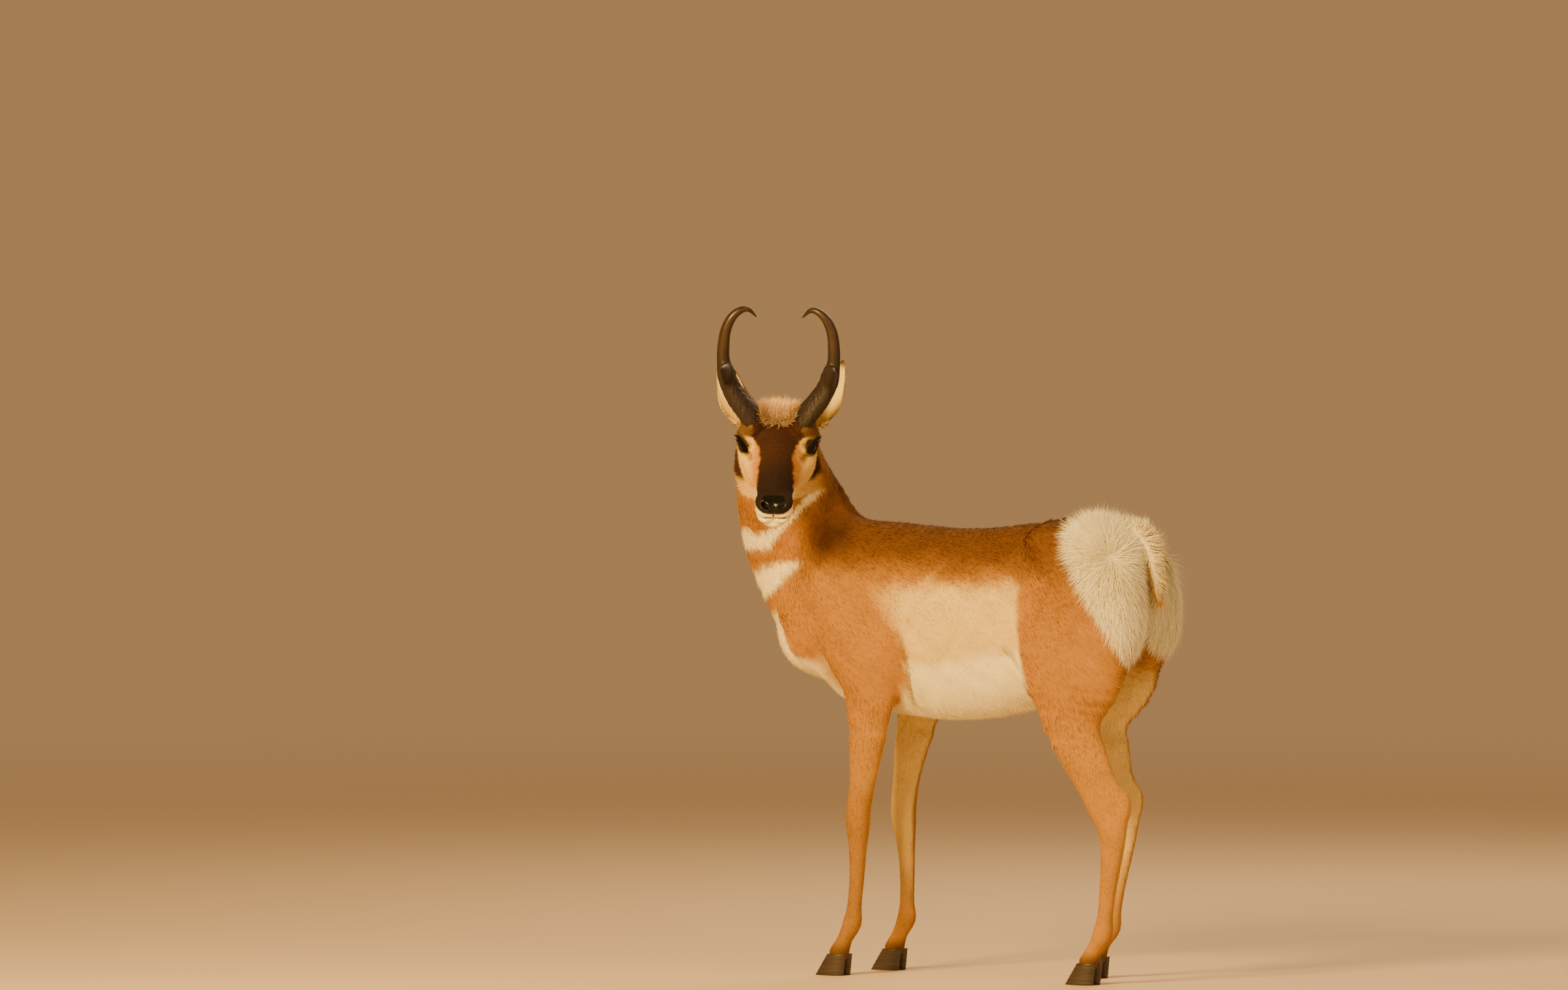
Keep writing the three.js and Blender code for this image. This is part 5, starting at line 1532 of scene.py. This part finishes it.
    def crest(self, skin, count, material):
        """Long hair: the tuft between the horns, and the short mane down the nape."""
        def weight(p):
            q = to_head(p)
            crown = smooth(34, 22, np.abs(q[:, 1])) * smooth(-52, -38, q[:, 0]) * smooth(2, -12, q[:, 0])
            crown = crown * smooth(20, 34, q[:, 2])
            t, bearing = neck_place(p)
            mane = smooth(24, 12, 180 - np.abs(bearing)) * smooth(0.28, 0.4, t) * (p[:, 2] > 850)
            mane = mane * (p[:, 0] < -200) * (q[:, 0] < -40)
            return 5 * crown + 0.6 * mane + 1e-9
        p, n, colours, rng = skin_samples(skin, count, weight, 14)
        q = to_head(p)
        crown = (q[:, 0] > -56) & (np.abs(q[:, 1]) < 40) & (q[:, 2] > 10)
        outwards = np.column_stack([rng.normal(-0.2, 0.5, count), q[:, 1] / 50, np.full(count, 0.35)])
        lie = np.where(crown[:, None], outwards @ HEAD_R.T, hair_lie(p, n) * 0.6 + (0.1, 0, -0.5))
        lie = unit(laid_flat(lie, n) + rng.normal(0, 0.15, p.shape))
        length = np.where(crown, 30, 15) * rng.uniform(0.6, 1.2, count)
        lift = np.radians(np.where(crown, 46, 16)) * rng.uniform(0.6, 1.3, count)
        colours = blend_to(colours, CROWN_CREAM, crown * 0.6)
        roots = tone(rng, colours * 0.75, 0.14)
        tips = tone(rng, colours * 1.08, 0.12)
        mesh = tuft_mesh("coat_crest", p, n, lie, length, np.full(count, 0.5), lift, roots, tips,
                         rings=3, droop=0.18, seed=7)
        add_tufts(mesh, material, "coat")


# Stage.

def add_light(name, at, size, power, colour):
    """A square light that faces the animal."""
    light = bpy.data.lights.new(name, "AREA")
    light.shape = "SQUARE"
    light.size = size
    light.energy = power
    light.color = colour
    obj = bpy.data.objects.new(name, light)
    bpy.context.scene.collection.objects.link(obj)
    obj.location = at
    obj.rotation_euler = (Vector(TARGET) - at).to_track_quat("-Z", "Y").to_euler()


class PRONGHORN_OT_stage(bpy.types.Operator):
    """Set the floor, the lights and the camera"""
    bl_idname = "pronghorn.stage"
    bl_label = "Stage"

    def execute(self, context):
        stage = context.scene.pronghorn_stage
        azimuth, elevation = math.radians(stage.azimuth), math.radians(stage.elevation)
        right = Vector((math.cos(azimuth), math.sin(azimuth), 0))
        back = Vector((math.sin(azimuth) * math.cos(elevation), -math.cos(azimuth) * math.cos(elevation),
                       math.sin(elevation)))
        up = back.cross(right)
        width, height = PICTURE
        origin = Vector(SHIFT)
        centre = origin + right * ((width / 2 - stage.middle) / stage.scale)
        centre += up * ((stage.floor_line - height / 2) / stage.scale)
        camera = bpy.data.cameras.new("camera")
        camera.sensor_width = 36
        camera.lens = 36 * stage.distance / (width / stage.scale)
        camera.clip_end = 200
        eye = bpy.data.objects.new("camera", camera)
        context.scene.collection.objects.link(eye)
        eye.location = centre + back * stage.distance
        eye.rotation_euler = back.to_track_quat("Z", "Y").to_euler()
        context.scene.camera = eye
        self.floor(stage.backdrop)
        for name, ((ahead, aside, above), size, power, colour) in LIGHTS.items():
            at = Vector(TARGET) + (back * ahead + right * aside + Vector((0, 0, above)))
            add_light(name, at, size, power, colour)
        world = bpy.data.worlds.new("studio")
        world.use_nodes = True
        world.node_tree.nodes["Background"].inputs[0].default_value = (*stage.backdrop, 1)
        context.scene.world = world
        return {"FINISHED"}

    def floor(self, backdrop, size=60):
        """A wide floor that fades into the backdrop with distance."""
        mesh = new_mesh("floor", [(-size, -size, 0), (size, -size, 0), (size, size, 0), (-size, size, 0)],
                        [(0, 1, 2, 3)])
        shader = Shader("pale_floor", roughness=0.85, base_color=(0.66, 0.53, 0.38, 1))
        away = shader.node("ShaderNodeVectorMath", {"operation": "LENGTH"}, [shader.place()],
                           output="Value")
        fade = shader.node("ShaderNodeMapRange", {"interpolation_type": "SMOOTHSTEP"},
                           {"Value": away, "From Min": 1.6, "From Max": 11.0})
        glow = shader.node("ShaderNodeEmission", {}, {"Color": (*backdrop, 1)}, output="Emission")
        surface = Value(shader, shader.surface.outputs[0])
        both = shader.node("ShaderNodeMixShader", {}, [fade, surface, glow])
        shader.tree.links.new(both.socket, shader.tree.nodes["Material Output"].inputs["Surface"])
        new_object("floor", mesh, shader.material)


class PRONGHORN_PT_panel(bpy.types.Panel):
    """Lists the pieces of the animal"""
    bl_label = "Pronghorn"
    bl_space_type = "VIEW_3D"
    bl_region_type = "UI"
    bl_category = "Pronghorn"

    def draw(self, context):
        for operator in OPERATORS:
            self.layout.operator(operator.bl_idname)
        for group in ("body", "coat", "stage"):
            settings = getattr(context.scene, f"pronghorn_{group}")
            for key in settings.__annotations__:
                self.layout.prop(settings, key)


OPERATORS = (PRONGHORN_OT_stage, PRONGHORN_OT_skin, PRONGHORN_OT_eyes, PRONGHORN_OT_horns,
             PRONGHORN_OT_hooves, PRONGHORN_OT_coat, PRONGHORN_OT_lashes)
CLASSES = (Body, Coat, Stage, *OPERATORS, PRONGHORN_PT_panel)


def register():
    for cls in CLASSES:
        bpy.utils.register_class(cls)
    bpy.types.Scene.pronghorn_body = PointerProperty(type=Body)
    bpy.types.Scene.pronghorn_coat = PointerProperty(type=Coat)
    bpy.types.Scene.pronghorn_stage = PointerProperty(type=Stage)


def unregister():
    for group in ("body", "coat", "stage"):
        delattr(bpy.types.Scene, f"pronghorn_{group}")
    for cls in reversed(CLASSES):
        bpy.utils.unregister_class(cls)


def main():
    register()
    bpy.ops.pronghorn.stage()
    bpy.ops.pronghorn.skin()
    bpy.ops.pronghorn.eyes()
    bpy.ops.pronghorn.horns()
    bpy.ops.pronghorn.hooves()
    bpy.ops.pronghorn.coat()
    bpy.ops.pronghorn.lashes()


if __name__ == "__main__":
    main()
